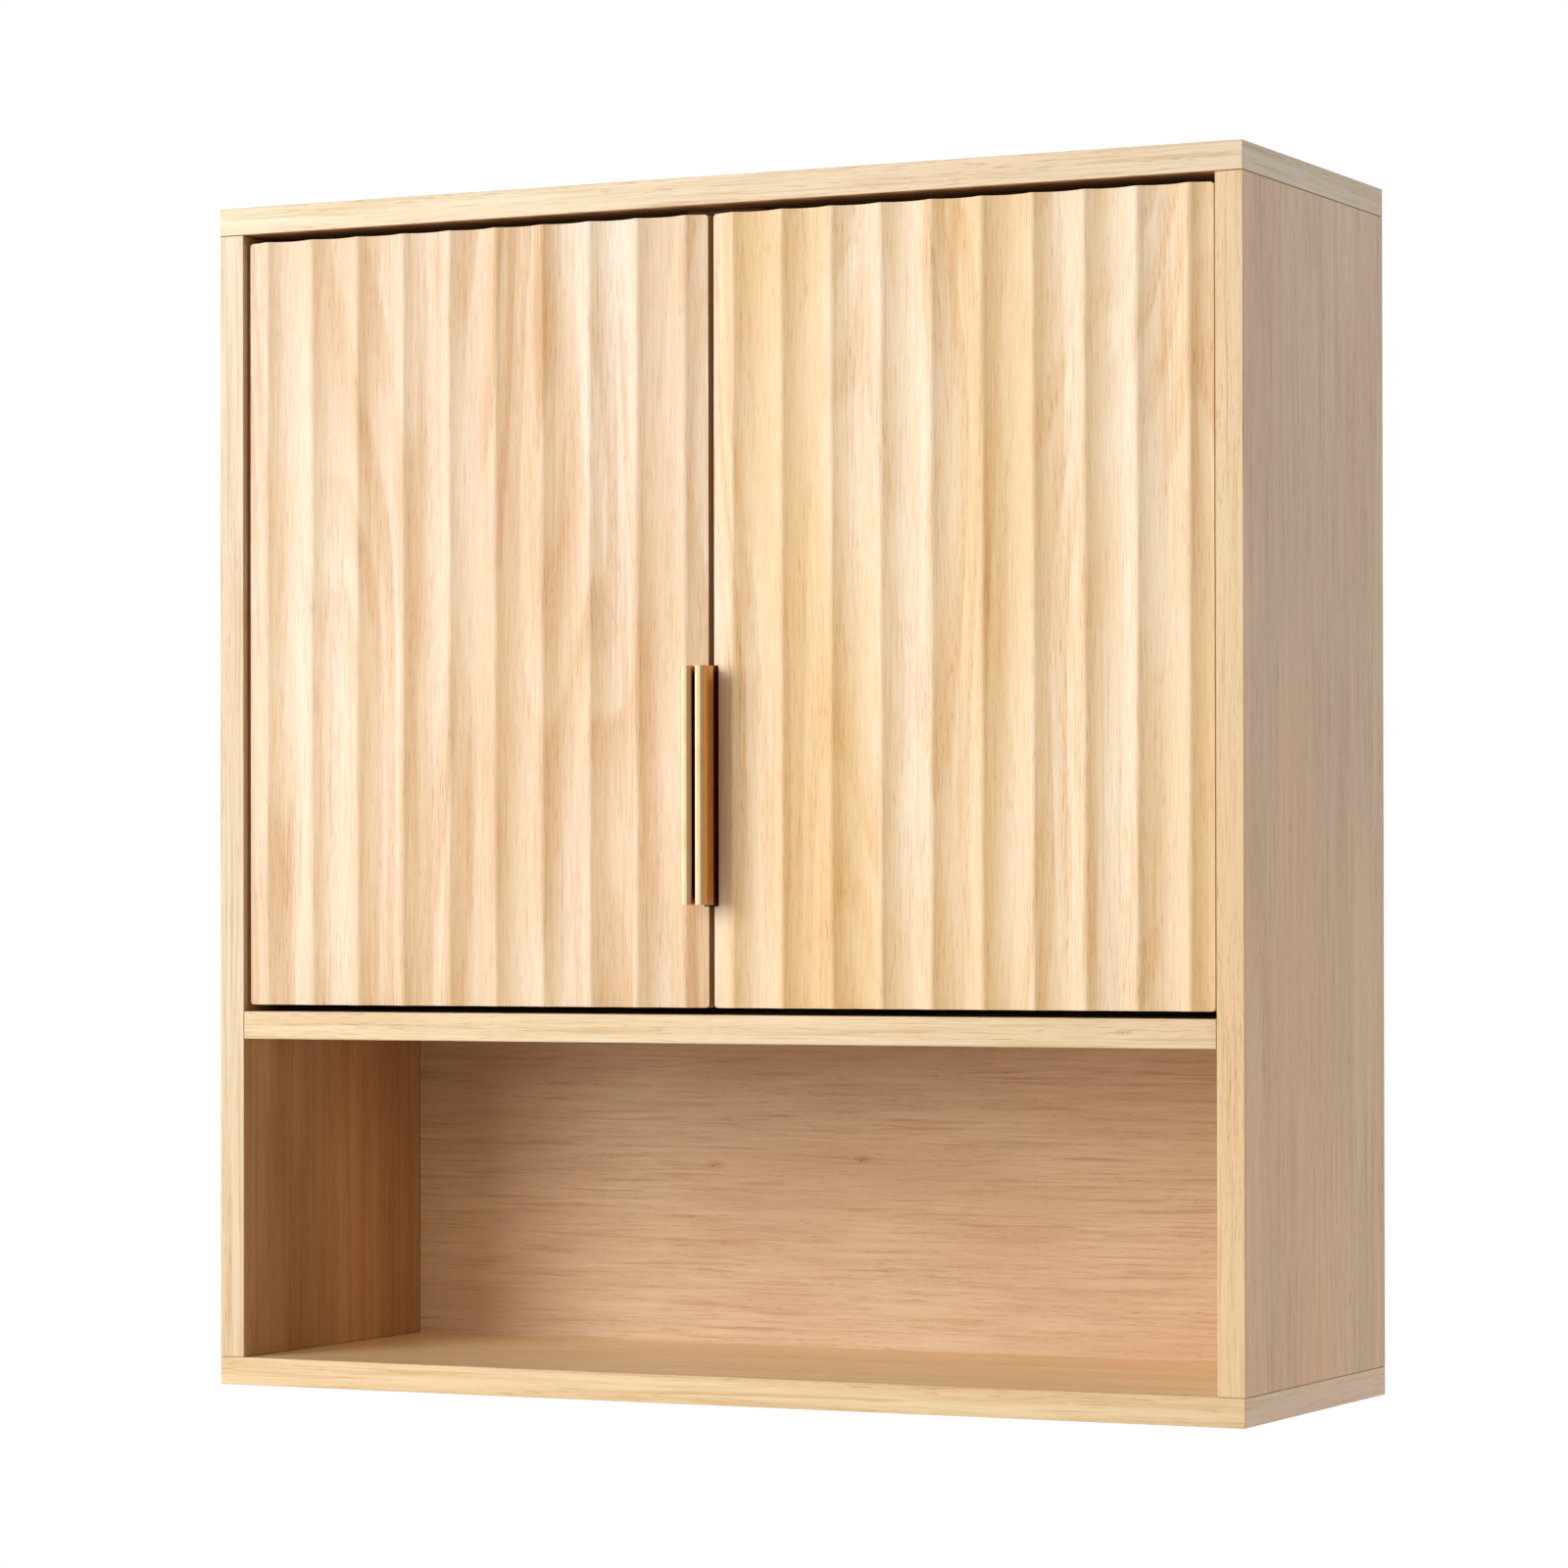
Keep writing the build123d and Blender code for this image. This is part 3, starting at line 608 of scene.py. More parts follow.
class Bench:
    """Modelling steps that the pieces share."""

    @staticmethod
    def clear() -> None:
        """Deselect every object."""
        bpy.ops.object.select_all(action="DESELECT")

    @staticmethod
    def pick(piece: bpy.types.Object, *others: bpy.types.Object) -> None:
        """Select these pieces alone, with the first one active."""
        Bench.clear()
        for one in (piece, *others):
            one.select_set(True)
        bpy.context.view_layer.objects.active = piece

    @staticmethod
    def settle(piece: bpy.types.Object, name: str) -> bpy.types.Object:
        """Name a piece and put its place into its mesh."""
        Bench.pick(piece)
        bpy.ops.object.transform_apply(location=True, rotation=True, scale=True)
        piece.name = name
        piece.data.name = name
        return piece

    @staticmethod
    def block(name: str, low: Sequence[float], high: Sequence[float]) -> bpy.types.Object:
        """Block between two corners."""
        Bench.clear()
        middle = [(a + b) / 2 for a, b in zip(low, high)]
        bpy.ops.mesh.primitive_cube_add(size=1, location=middle)
        made = bpy.context.object
        made.scale = [abs(b - a) for a, b in zip(low, high)]
        return Bench.settle(made, name)

    @staticmethod
    def drum(
        name: str, radii: tuple[float, float], start: Point, along: Point, length: float, sides: int
    ) -> bpy.types.Object:
        """Round bar or cone from a point in a direction.

        Args:
            name: Name of the piece.
            radii: Radius at the start and at the end.
            start: Centre of its first face.
            along: Unit direction of its axis.
            length: Length of the bar.
            sides: Number of sides.

        Returns:
            The bar, with its place in its mesh.
        """
        Bench.clear()
        turn = Vector((0, 0, 1)).rotation_difference(Vector(along)).to_euler()
        middle = Vector(start) + Vector(along) * (length / 2)
        bpy.ops.mesh.primitive_cone_add(
            vertices=sides, radius1=radii[0], radius2=radii[1], depth=length, location=middle, rotation=turn
        )
        return Bench.settle(bpy.context.object, name)

    @staticmethod
    def edit(piece: bpy.types.Object) -> None:
        """Go into edit mode with nothing selected."""
        Bench.pick(piece)
        bpy.ops.object.mode_set(mode="EDIT")
        bpy.ops.mesh.select_mode(type="VERT")
        bpy.ops.mesh.select_all(action="DESELECT")

    @staticmethod
    def done() -> None:
        """Leave edit mode."""
        bpy.ops.object.mode_set(mode="OBJECT")

    @staticmethod
    def everything() -> None:
        """Select the whole mesh, in edit mode."""
        bpy.ops.mesh.select_all(action="SELECT")

    @staticmethod
    def extrude(move: Sequence[float]) -> None:
        """Extrude what is selected, in edit mode."""
        bpy.ops.mesh.extrude_region_move(TRANSFORM_OT_translate={"value": move})

    @staticmethod
    def trim(at: Point, way: Point) -> None:
        """Cut the mesh in edit mode with a plane, and drop what lies in front of it."""
        Bench.everything()
        bpy.ops.mesh.bisect(plane_co=at, plane_no=way, clear_outer=True, threshold=EXACT)

    @staticmethod
    def face_out() -> None:
        """Turn all faces outwards, in edit mode."""
        Bench.everything()
        bpy.ops.mesh.normals_make_consistent(inside=False)

    @staticmethod
    def choose(piece: bpy.types.Object, kind: str, test: Callable[[Vector, Vector], bool]) -> None:
        """Select edges or faces by place and direction, from edit mode.

        Args:
            piece: The piece in edit mode.
            kind: EDGE or FACE.
            test: Says whether a part is chosen, from its middle and its normal or an edge's direction.
        """
        bpy.ops.mesh.select_mode(type=kind)
        bpy.ops.mesh.select_all(action="DESELECT")
        bpy.ops.object.mode_set(mode="OBJECT")
        mesh = piece.data
        if kind == "FACE":
            for face in mesh.polygons:
                face.select = test(face.center, face.normal)
        else:
            for edge in mesh.edges:
                a, b = (mesh.vertices[v].co for v in edge.vertices)
                edge.select = test((a + b) / 2, (b - a).normalized())
        bpy.ops.object.mode_set(mode="EDIT")

    @staticmethod
    def apply(piece: bpy.types.Object, kind: str, **settings: object) -> bpy.types.Object:
        """Add a modifier and apply it.

        Args:
            piece: The piece.
            kind: Type of the modifier.
            **settings: Its properties.

        Returns:
            The same piece.
        """
        Bench.pick(piece)
        step = piece.modifiers.new(kind.lower(), kind)
        for key, value in settings.items():
            setattr(step, key, value)
        bpy.ops.object.modifier_apply(modifier=step.name)
        return piece

    @staticmethod
    def cut(piece: bpy.types.Object, *cutters: bpy.types.Object, way: str = "DIFFERENCE") -> bpy.types.Object:
        """Cut one piece with others, which are used up."""
        for cutter in cutters:
            Bench.apply(piece, "BOOLEAN", operation=way, solver="EXACT", object=cutter)
            mesh = cutter.data
            bpy.data.objects.remove(cutter)
            bpy.data.meshes.remove(mesh)
        return piece

    @staticmethod
    def join(pieces: Sequence[bpy.types.Object], name: str) -> bpy.types.Object:
        """Make several pieces one."""
        Bench.pick(*pieces)
        if len(pieces) > 1:
            bpy.ops.object.join()
        return Bench.settle(bpy.context.object, name)

    @staticmethod
    def copies(piece: bpy.types.Object, places: Sequence[Matrix], name: str) -> bpy.types.Object:
        """Set copies of a piece at several places, joined, and use the piece up."""
        made = []
        for place in places:
            one = bpy.data.objects.new(name, piece.data.copy())
            one.data.transform(place)
            bpy.context.scene.collection.objects.link(one)
            made.append(one)
        bpy.data.objects.remove(piece)
        return Bench.join(made, name)

    @staticmethod
    def tidy(piece: bpy.types.Object) -> bpy.types.Object:
        """Merge doubles and turn the faces outwards."""
        Bench.edit(piece)
        Bench.everything()
        bpy.ops.mesh.remove_doubles(threshold=DOUBLE)
        bpy.ops.mesh.normals_make_consistent(inside=False)
        Bench.done()
        return piece

    @staticmethod
    def soften(piece: bpy.types.Object, width: float, rounds: int = 2) -> bpy.types.Object:
        """Round the sharp edges and shade the rest smooth.

        Args:
            piece: The piece.
            width: Width of the rounding in metres.
            rounds: Segments of the rounding.

        Returns:
            The same piece.
        """
        Bench.apply(piece, "BEVEL", width=width, segments=rounds, limit_method="ANGLE", angle_limit=SHARP)
        Bench.pick(piece)
        bpy.ops.object.shade_smooth_by_angle(angle=CREASE)
        return piece

    @staticmethod
    def complete(piece: bpy.types.Object, name: str, side: Side, width: float) -> bpy.types.Object:
        """Mirror a right-hand piece to its side, clean its mesh and round its edges."""
        piece.scale.x = side.value
        Bench.settle(piece, name)
        Bench.tidy(piece)
        return Bench.soften(piece, width, 3)

    @staticmethod
    def of_node(node: str, name: str) -> bpy.types.Object:
        """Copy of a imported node, with its loose triangles merged into clean faces."""
        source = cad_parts[node]
        made = bpy.data.objects.new(name, source.data.copy())
        bpy.context.scene.collection.objects.link(made)
        made.data.materials.clear()
        Bench.edit(made)
        Bench.everything()
        bpy.ops.mesh.customdata_custom_splitnormals_clear()
        bpy.ops.mesh.remove_doubles(threshold=DOUBLE)
        bpy.ops.mesh.dissolve_limited(angle_limit=FLAT)
        Bench.done()
        return made

    @staticmethod
    def paint(node: str, material: bpy.types.Material) -> None:
        """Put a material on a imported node."""
        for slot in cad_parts[node].material_slots:
            slot.material = material
        LOG.info("%s: as packed, in %s", node, material.name)

    @staticmethod
    def dress(piece: bpy.types.Object, finish: bpy.types.Material, body: str, slot: str, *nodes: str) -> None:
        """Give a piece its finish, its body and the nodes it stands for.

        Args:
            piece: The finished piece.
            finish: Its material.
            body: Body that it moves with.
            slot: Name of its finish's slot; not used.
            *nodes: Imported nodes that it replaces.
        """
        piece.data.materials.clear()
        piece.data.materials.append(finish)
        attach(piece, body)
        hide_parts(*nodes)
        LOG.info("%s: %d faces on %s", piece.name, len(piece.data.polygons), body)


@dataclass
class Finishes:
    """Materials that more than one piece uses, built once."""

    brass: bpy.types.Material = field(init=False)
    nickel: bpy.types.Material = field(init=False)
    zinc: bpy.types.Material = field(init=False)
    steel: bpy.types.Material = field(init=False)
    magnet: bpy.types.Material = field(init=False)
    plastic: bpy.types.Material = field(init=False)
    beech: bpy.types.Material = field(init=False)

    def __post_init__(self) -> None:
        """Build the materials."""
        self.brass = Metal(
            "polished_brass",
            tone(244, 216, 172),
            tone(236, 202, 152),
            smooth=0.13,
            dull=0.18,
            relief=0.04,
            # the sideways faces of the pull get a painted shade
            flank=tone(206, 150, 74),
        ).material()
        self.nickel = Metal("plated_nickel", tone(205, 202, 196), tone(176, 172, 166), 0.22, 0.34).material()
        zinc = tone(190, 192, 194), tone(150, 152, 156)
        self.zinc = Metal("zinc_casting", *zinc, 0.34, 0.5, (900, 900, 900)).material()
        steel = tone(206, 204, 198), tone(168, 166, 160)
        self.steel = Metal("screw_steel", *steel, 0.24, 0.38, (1500, 1500, 1500)).material()
        self.magnet = Metal("magnet_steel", tone(150, 150, 152), tone(116, 116, 120), 0.3, 0.45).material()
        self.plastic = Moulded("catch_plastic", tone(92, 62, 42), tone(78, 52, 35)).material()
        beech = tone(232, 200, 160), tone(216, 180, 138)
        self.beech = BoardOak("beech_dowels", Grain.ALONG_X, (0.4, 0.2, 0.9), *beech).material()


# Sub-assemblies


@dataclass
class Carcass:
    """The boards, which stay as they are packed and get their wood."""

    def boards(self) -> dict[str, BoardOak]:
        """Finish of every board, by its node.

        Returns:
            The finishes, each with its own place in the pattern.
        """
        across, upright = Grain.ALONG_X, Grain.ALONG_Z
        shelf_knot = Knot((0.235, -0.208, -0.4135), (0.007, 0.006, 0.0022), 0.8)
        side_knot = Knot((0.3, -0.055, -0.5555), (0.004, 0.0035, 0.006), 0.7)
        rear_knots = (
            Knot((-0.0013, -0.015, -0.4905), (0.0085, 0.004, 0.0034), 0.9),
            Knot((-0.0932, -0.015, -0.495), (0.0085, 0.004, 0.0032), 0.8),
        )
        ends, sills = (0.019, -0.596), (-0.285, 0.285)
        # Tones as pairs of factors for red, green and blue. The first three are painted shade and light on
        # faces that look into the cabinet: a darker inner face of the left side panel, a darker underside of
        # the top panel and a lighter floor of the bay. The next is a tone of the wood on the outer face. The
        # last four, like the back panel's pair, are painted light by height, lighter at the top and darker at
        # the bottom; the fixed shelf's pair is one tone.
        wall_painted_shade = ((0.82, 0.66, 0.54), (0.62, 0.47, 0.37))
        roof_painted_shade = ((0.62, 0.41, 0.26),) * 2
        deck_painted_light = ((1.08, 1.15, 1.2),) * 2
        outer = ((1.06, 1.0, 1.03), (0.94, 0.87, 0.9))
        pale = ((0.96, 1.08, 1.24), (0.97, 0.93, 0.87))
        west = ((0.93, 1.04, 1.26), (0.9, 0.91, 0.96))
        east = ((0.97, 1.01, 1.02), (0.98, 0.94, 0.84))
        even = ((0.97, 1.01, 1.06),) * 2
        back = BoardOak(
            "oak_back_panel",
            across,
            (7.4, 3.3, 0.2),
            cream=tone(228, 202, 174),
            tan=tone(213, 184, 151),
            blush=tone(219, 186, 160),
            streak=tone(192, 155, 121),
            pore=tone(150, 110, 80),
            band=0.8,
            line=0.6,
            dash=0.35,
            arch=0.2,
            fine=2.4,
            short=2.4,
            wavy=0.0016,
            # Painted light by height: lighter at the top, darker at the bottom
            painted_light_by_height=((1.0, 1.06, 1.2), (0.98, 0.97, 0.93)),
            seams=sills,
            knots=rear_knots,
        )
        return {
            "top_panel": BoardOak("oak_top_panel", across, (0.0, 0.0, 0.0), shade=roof_painted_shade, painted_light_by_height=pale),
            "bottom_panel": BoardOak(
                "oak_bottom_panel", across, (1.7, 0.9, 2.3), shade=deck_painted_light, painted_light_by_height=pale, rough=0.28, gloss=0.5
            ),
            "fixed_shelf": BoardOak(
                "oak_fixed_shelf", across, (3.1, 1.4, 0.6), painted_light_by_height=even, seams=sills, knots=(shelf_knot,)
            ),
            "inner_shelf": BoardOak("oak_inner_shelf", across, (5.2, 2.2, 1.1)),
            "back_panel": back,
            "left_side_panel": BoardOak(
                "oak_left_side", upright, (2.2, 4.1, 6.3), band=0.7, shade=wall_painted_shade, painted_light_by_height=west, seams=ends
            ),
            "right_side_panel": BoardOak(
                "oak_right_side",
                upright,
                (9.3, 1.2, 3.7),
                band=0.42,
                line=0.5,
                short=1.5,
                wavy=0.002,
                flank=outer,
                painted_light_by_height=east,
                seams=ends,
                knots=(side_knot,),
            ),
        }

    def dress(self, finishes: Finishes) -> None:
        """Give every packed board and hidden fitting its material."""
        for node, finish in self.boards().items():
            Bench.paint(node, finish.material())
        Bench.paint("carcass_dowels", finishes.beech)
        Bench.paint("cam_bolts", finishes.zinc)


@dataclass
class FlutedDoor:
    """A door with concave flutes between rounded ridges.

    Attributes:
        side: Which door it is.
        pitch: From ridge to ridge.
        depth: Depth of a flute.
        hollow: Radius of a flute.
        corner: Radius of the door's corners.
        easing: Rounding of its edges.
        cup_radius: Radius of a hinge bore.
        cup_depth: Depth of a hinge bore.
        cup_rim: From the middle of a hinge cup to the outer end of its flange.
        notch: Depth of the notch for the handle.
        notch_room: Room above and below the handle in its notch.
        flute_sides: Edges round the full circle of a flute.
        ridge_sides: Edges round the full circle of a ridge.
    """

    side: Side
    pitch: float = 28.5 * MM
    depth: float = 3.6 * MM
    hollow: float = 26.3 * MM
    corner: float = 2.0 * MM
    easing: float = 0.7 * MM
    cup_radius: float = 17.6 * MM
    cup_depth: float = 11.6 * MM
    cup_rim: float = 19.3 * MM
    notch: float = 2.6 * MM
    notch_room: float = 0.8 * MM
    flute_sides: int = 240
    ridge_sides: int = 56

    def __post_init__(self) -> None:
        """Read the door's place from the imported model, as for the right-hand side."""
        low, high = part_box("right_door_panel")
        self.low, self.high = Vector(low), Vector(high)

    def build(self) -> bpy.types.Object:
        """Model the door.

        Returns:
            The door in its place.
        """
        name = f"{self.side.word}_fluted_door"
        door = self._planed(name)
        Bench.cut(door, self._blank(), way="INTERSECT")
        Bench.cut(door, *self._bores())
        return Bench.complete(door, name, self.side, self.easing)

    def _line(self) -> bpy.types.Object:
        """One flute and one ridge in plan, repeated as a line of short edges."""
        total = ((self.pitch / 2) ** 2 / self.depth + self.depth) / 2
        crest = total - self.hollow
        ridges = round((self.high.x - self.low.x) / self.pitch)
        first = (self.low.x + self.high.x) / 2 - self.pitch * ridges / 2
        y_flute = self.low.y + self.depth - self.hollow
        y_crest = self.low.y + crest
        y_meet = y_flute + (y_crest - y_flute) * self.hollow / total
        arcs = []
        for radius, x, y, sides, keep in (
            (self.hollow, first, y_flute, self.flute_sides, -1),
            (crest, first + self.pitch / 2, y_crest, self.ridge_sides, 1),
        ):
            Bench.clear()
            place = (x, y, self.low.z - SPARE)
            bpy.ops.mesh.primitive_circle_add(vertices=sides, radius=radius, location=place)
            arc = Bench.settle(bpy.context.object, "flute_line")
            Bench.edit(arc)
            Bench.trim((x, y_meet, 0), (0, keep, 0))
            Bench.done()
            arcs.append(arc)
        line = Bench.join(arcs, "flute_line")
        Bench.edit(line)
        Bench.everything()
        bpy.ops.mesh.remove_doubles(threshold=WELD)
        Bench.done()
        return Bench.apply(
            line,
            "ARRAY",
            count=ridges + 1,
            use_relative_offset=False,
            use_constant_offset=True,
            constant_offset_displace=(self.pitch, 0, 0),
            use_merge_vertices=True,
            merge_threshold=WELD,
        )

    def _planed(self, name: str) -> bpy.types.Object:
        """The fluted plank, longer than the door."""
        line = self._line()
        Bench.edit(line)
        for x, way in ((self.low.x, -1), (self.high.x, 1)):
            Bench.trim((x, 0, 0), (way, 0, 0))
        Bench.everything()
        Bench.extrude((0, SPARE, 0))
        bpy.ops.transform.resize(value=(1, 0, 1), center_override=(0, self.high.y, 0))
        Bench.everything()
        Bench.extrude((0, 0, self.high.z - self.low.z + 2 * SPARE))
        Bench.face_out()
        Bench.done()
        return Bench.settle(line, name)

    def _blank(self) -> bpy.types.Object:
        """Outline of the door with its rounded corners."""
        low = (self.low.x, self.low.y - SPARE, self.low.z)
        high = (self.high.x, self.high.y + SPARE, self.high.z)
        blank = Bench.block("door_blank", low, high)
        Bench.edit(blank)
        Bench.choose(blank, "EDGE", lambda middle, way: abs(way.y) > ALONG)
        bpy.ops.mesh.bevel(offset=self.corner, segments=6, affect="EDGES")
        Bench.done()
        return blank

    def _bores(self) -> list[bpy.types.Object]:
        """Cutters for the hinge bores and the handle's notch."""
        cutters = []
        radii = (self.cup_radius, self.cup_radius)
        for level in Level:
            low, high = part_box(f"right_{level.value}_hinge_cup")
            middle = (high.x - self.cup_rim, self.high.y + SPARE / 2, (low.z + high.z) / 2)
            deep = self.cup_depth + SPARE / 2
            cutters.append(Bench.drum("cup_bore", radii, middle, (0, -1, 0), deep, sides=64))
        low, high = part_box("right_handle")
        start = (self.low.x - SPARE, self.low.y - SPARE, low.z - self.notch_room)
        end = (self.low.x + self.notch, self.high.y + SPARE, high.z + self.notch_room)
        cutters.append(Bench.block("notch", start, end))
        return cutters


@dataclass
class EdgePull:
    """A brass pull folded from sheet, let into the meeting edge of its door.

    Attributes:
        side: Which door it belongs to.
        sheet: Thickness of the sheet.
        face: Width of the front.
        lip: Depth of the lip behind the front.
        bend: Radius of the bends at the middle of the sheet.
        easing: Rounding of its edges.
        screw_pitch: Distance between its two screws.
        sink: Radii of a countersink at its mouth and at its end.
        sink_depth: Length of a countersink.
        shank: Radius of a screw hole.
        shank_depth: Length of a screw hole.
        lead: How far both start outside the flange.
    """

    side: Side
    sheet: float = 2.0 * MM
    face: float = 6.7 * MM
    lip: float = 10.5 * MM
    bend: float = 1.5 * MM
    easing: float = 0.3 * MM
    screw_pitch: float = 80.0 * MM
    sink: tuple[float, float] = (4.5 * MM, 1.5 * MM)
    sink_depth: float = 3.0 * MM
    shank: float = 1.85 * MM
    shank_depth: float = 4.0 * MM
    lead: float = 1.0 * MM

    def __post_init__(self) -> None:
        """Read the pull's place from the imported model, as for the right-hand side."""
        low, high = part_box("right_handle")
        self.low, self.high = Vector(low), Vector(high)

    def build(self) -> bpy.types.Object:
        """Model the pull.

        Returns:
            The pull in its place.
        """
        name = f"{self.side.word}_edge_pull"
        half = self.sheet / 2
        start = Vector((self.high.x, self.high.y - half, self.low.z))
        corners = [
            (self.low.x + half, start.y),
            (self.low.x + half, self.low.y + half),
            (self.low.x + self.face - half, self.low.y + half),
            (self.low.x + self.face - half, self.low.y + self.lip),
        ]
        Bench.clear()
        bpy.ops.mesh.primitive_plane_add(size=MM, location=start)
        pull = Bench.settle(bpy.context.object, name)
        Bench.edit(pull)
        Bench.everything()
        bpy.ops.mesh.merge(type="CENTER")
        Bench.everything()
        here = start.copy()
        for x, y in corners:
            there = Vector((x, y, start.z))
            Bench.extrude(there - here)
            here = there
        Bench.everything()
        bpy.ops.mesh.bevel(offset=self.bend, segments=10, affect="VERTICES")
        Bench.everything()
        Bench.extrude((0, 0, self.high.z - self.low.z))
        Bench.face_out()
        Bench.done()
        Bench.apply(pull, "SOLIDIFY", thickness=self.sheet, offset=0, use_even_offset=True)
        Bench.cut(pull, *self._sinks())
        return Bench.complete(pull, name, self.side, self.easing)

    def spots(self) -> list[Point]:
        """Centres of the two screw heads on the flange of the right-hand pull."""
        x = (self.low.x + self.sheet + self.high.x) / 2
        middle = (self.low.z + self.high.z) / 2
        return [(x, self.high.y, middle + way * self.screw_pitch / 2) for way in (-1, 1)]

    def _sinks(self) -> list[bpy.types.Object]:
        """Cutters for the countersunk screw holes."""
        made = []
        inward = (0, -1, 0)
        for x, y, z in self.spots():
            start = (x, y + self.lead, z)
            made.append(Bench.drum("sink", self.sink, start, inward, self.sink_depth, sides=40))
            radii = (self.shank, self.shank)
            made.append(Bench.drum("shank", radii, start, inward, self.shank_depth, sides=32))
        return made


@dataclass
class Screw:
    """A countersunk wood screw with a cross recess.

    Attributes:
        length: From the face of its head to its tip.
        radius: Radius of its shank.
        head: Radius of its head.
        cross: Half length, half width and depth of the recess, as shares of the head's radius.
        taper: Width of the recess at its bottom, as a share of its mouth.
        tip: Width of the tip, as a share of the shank.
        easing: Rounding of its edges.
        turns: Turn of the first screw of a set, and from each to the next, in radians.
    """

    length: float = 11.0 * MM
    radius: float = 1.75 * MM
    head: float = 3.4 * MM
    cross: Point = (0.62, 0.13, 0.55)
    taper: float = 0.45
    tip: float = 0.12
    easing: float = 0.12 * MM
    turns: tuple[float, float] = (0.35, 1.13)

    def build(self) -> bpy.types.Object:
        """Model the screw with its head's face at the origin and its shank along Z.

        Returns:
            The screw.
        """
        cone = self.head - self.radius
        made = Bench.drum("screw", (self.head, self.radius), (0, 0, 0), (0, 0, 1), cone, sides=32)
        Bench.edit(made)
        Bench.choose(made, "FACE", lambda middle, way: way.z > ALONG)
        Bench.extrude((0, 0, self.length - cone - self.radius))
        Bench.extrude((0, 0, self.radius))
        bpy.ops.transform.resize(value=(self.tip, self.tip, 1), center_override=(0, 0, self.length))
        Bench.done()
        arm, wide, deep = (self.head * share for share in self.cross)
        for x, y in ((arm, wide), (wide, arm)):
            slot = Bench.block("recess", (-x, -y, -1 * MM), (x, y, deep))
            Bench.edit(slot)
            Bench.choose(slot, "FACE", lambda middle, way: way.z > ALONG)
            bpy.ops.transform.resize(value=(self.taper, self.taper, 1), center_override=(0, 0, 0))
            Bench.done()
            Bench.cut(made, slot)
        return Bench.soften(made, self.easing)

    def set(self, name: str, spots: Sequence[Point], along: Point) -> bpy.types.Object:
        """Screws at several places, each turned a little differently.

        Args:
            name: Name of the joined screws.
            spots: Centres of their heads' faces.
            along: Direction from head to tip.

        Returns:
            The screws in their places.
        """
        turn = turned_to(along)
        first, step = self.turns
        places = []
        for index, spot in enumerate(spots):
            twist = Matrix.Rotation(first + step * index, 4, "Z")
            places.append(Matrix.Translation(spot) @ turn @ twist)
        return Bench.copies(self.build(), places, name)


def turned_to(along: Point) -> Matrix:
    """Rotation that takes the Z axis to a direction."""
    return Vector((0, 0, 1)).rotation_difference(Vector(along)).to_matrix().to_4x4()


def mirrored(spots: Sequence[Point]) -> list[Point]:
    """Places on the right-hand side and their mirror images on the left."""
    return [(side.value * x, y, z) for side in Side for x, y, z in spots]


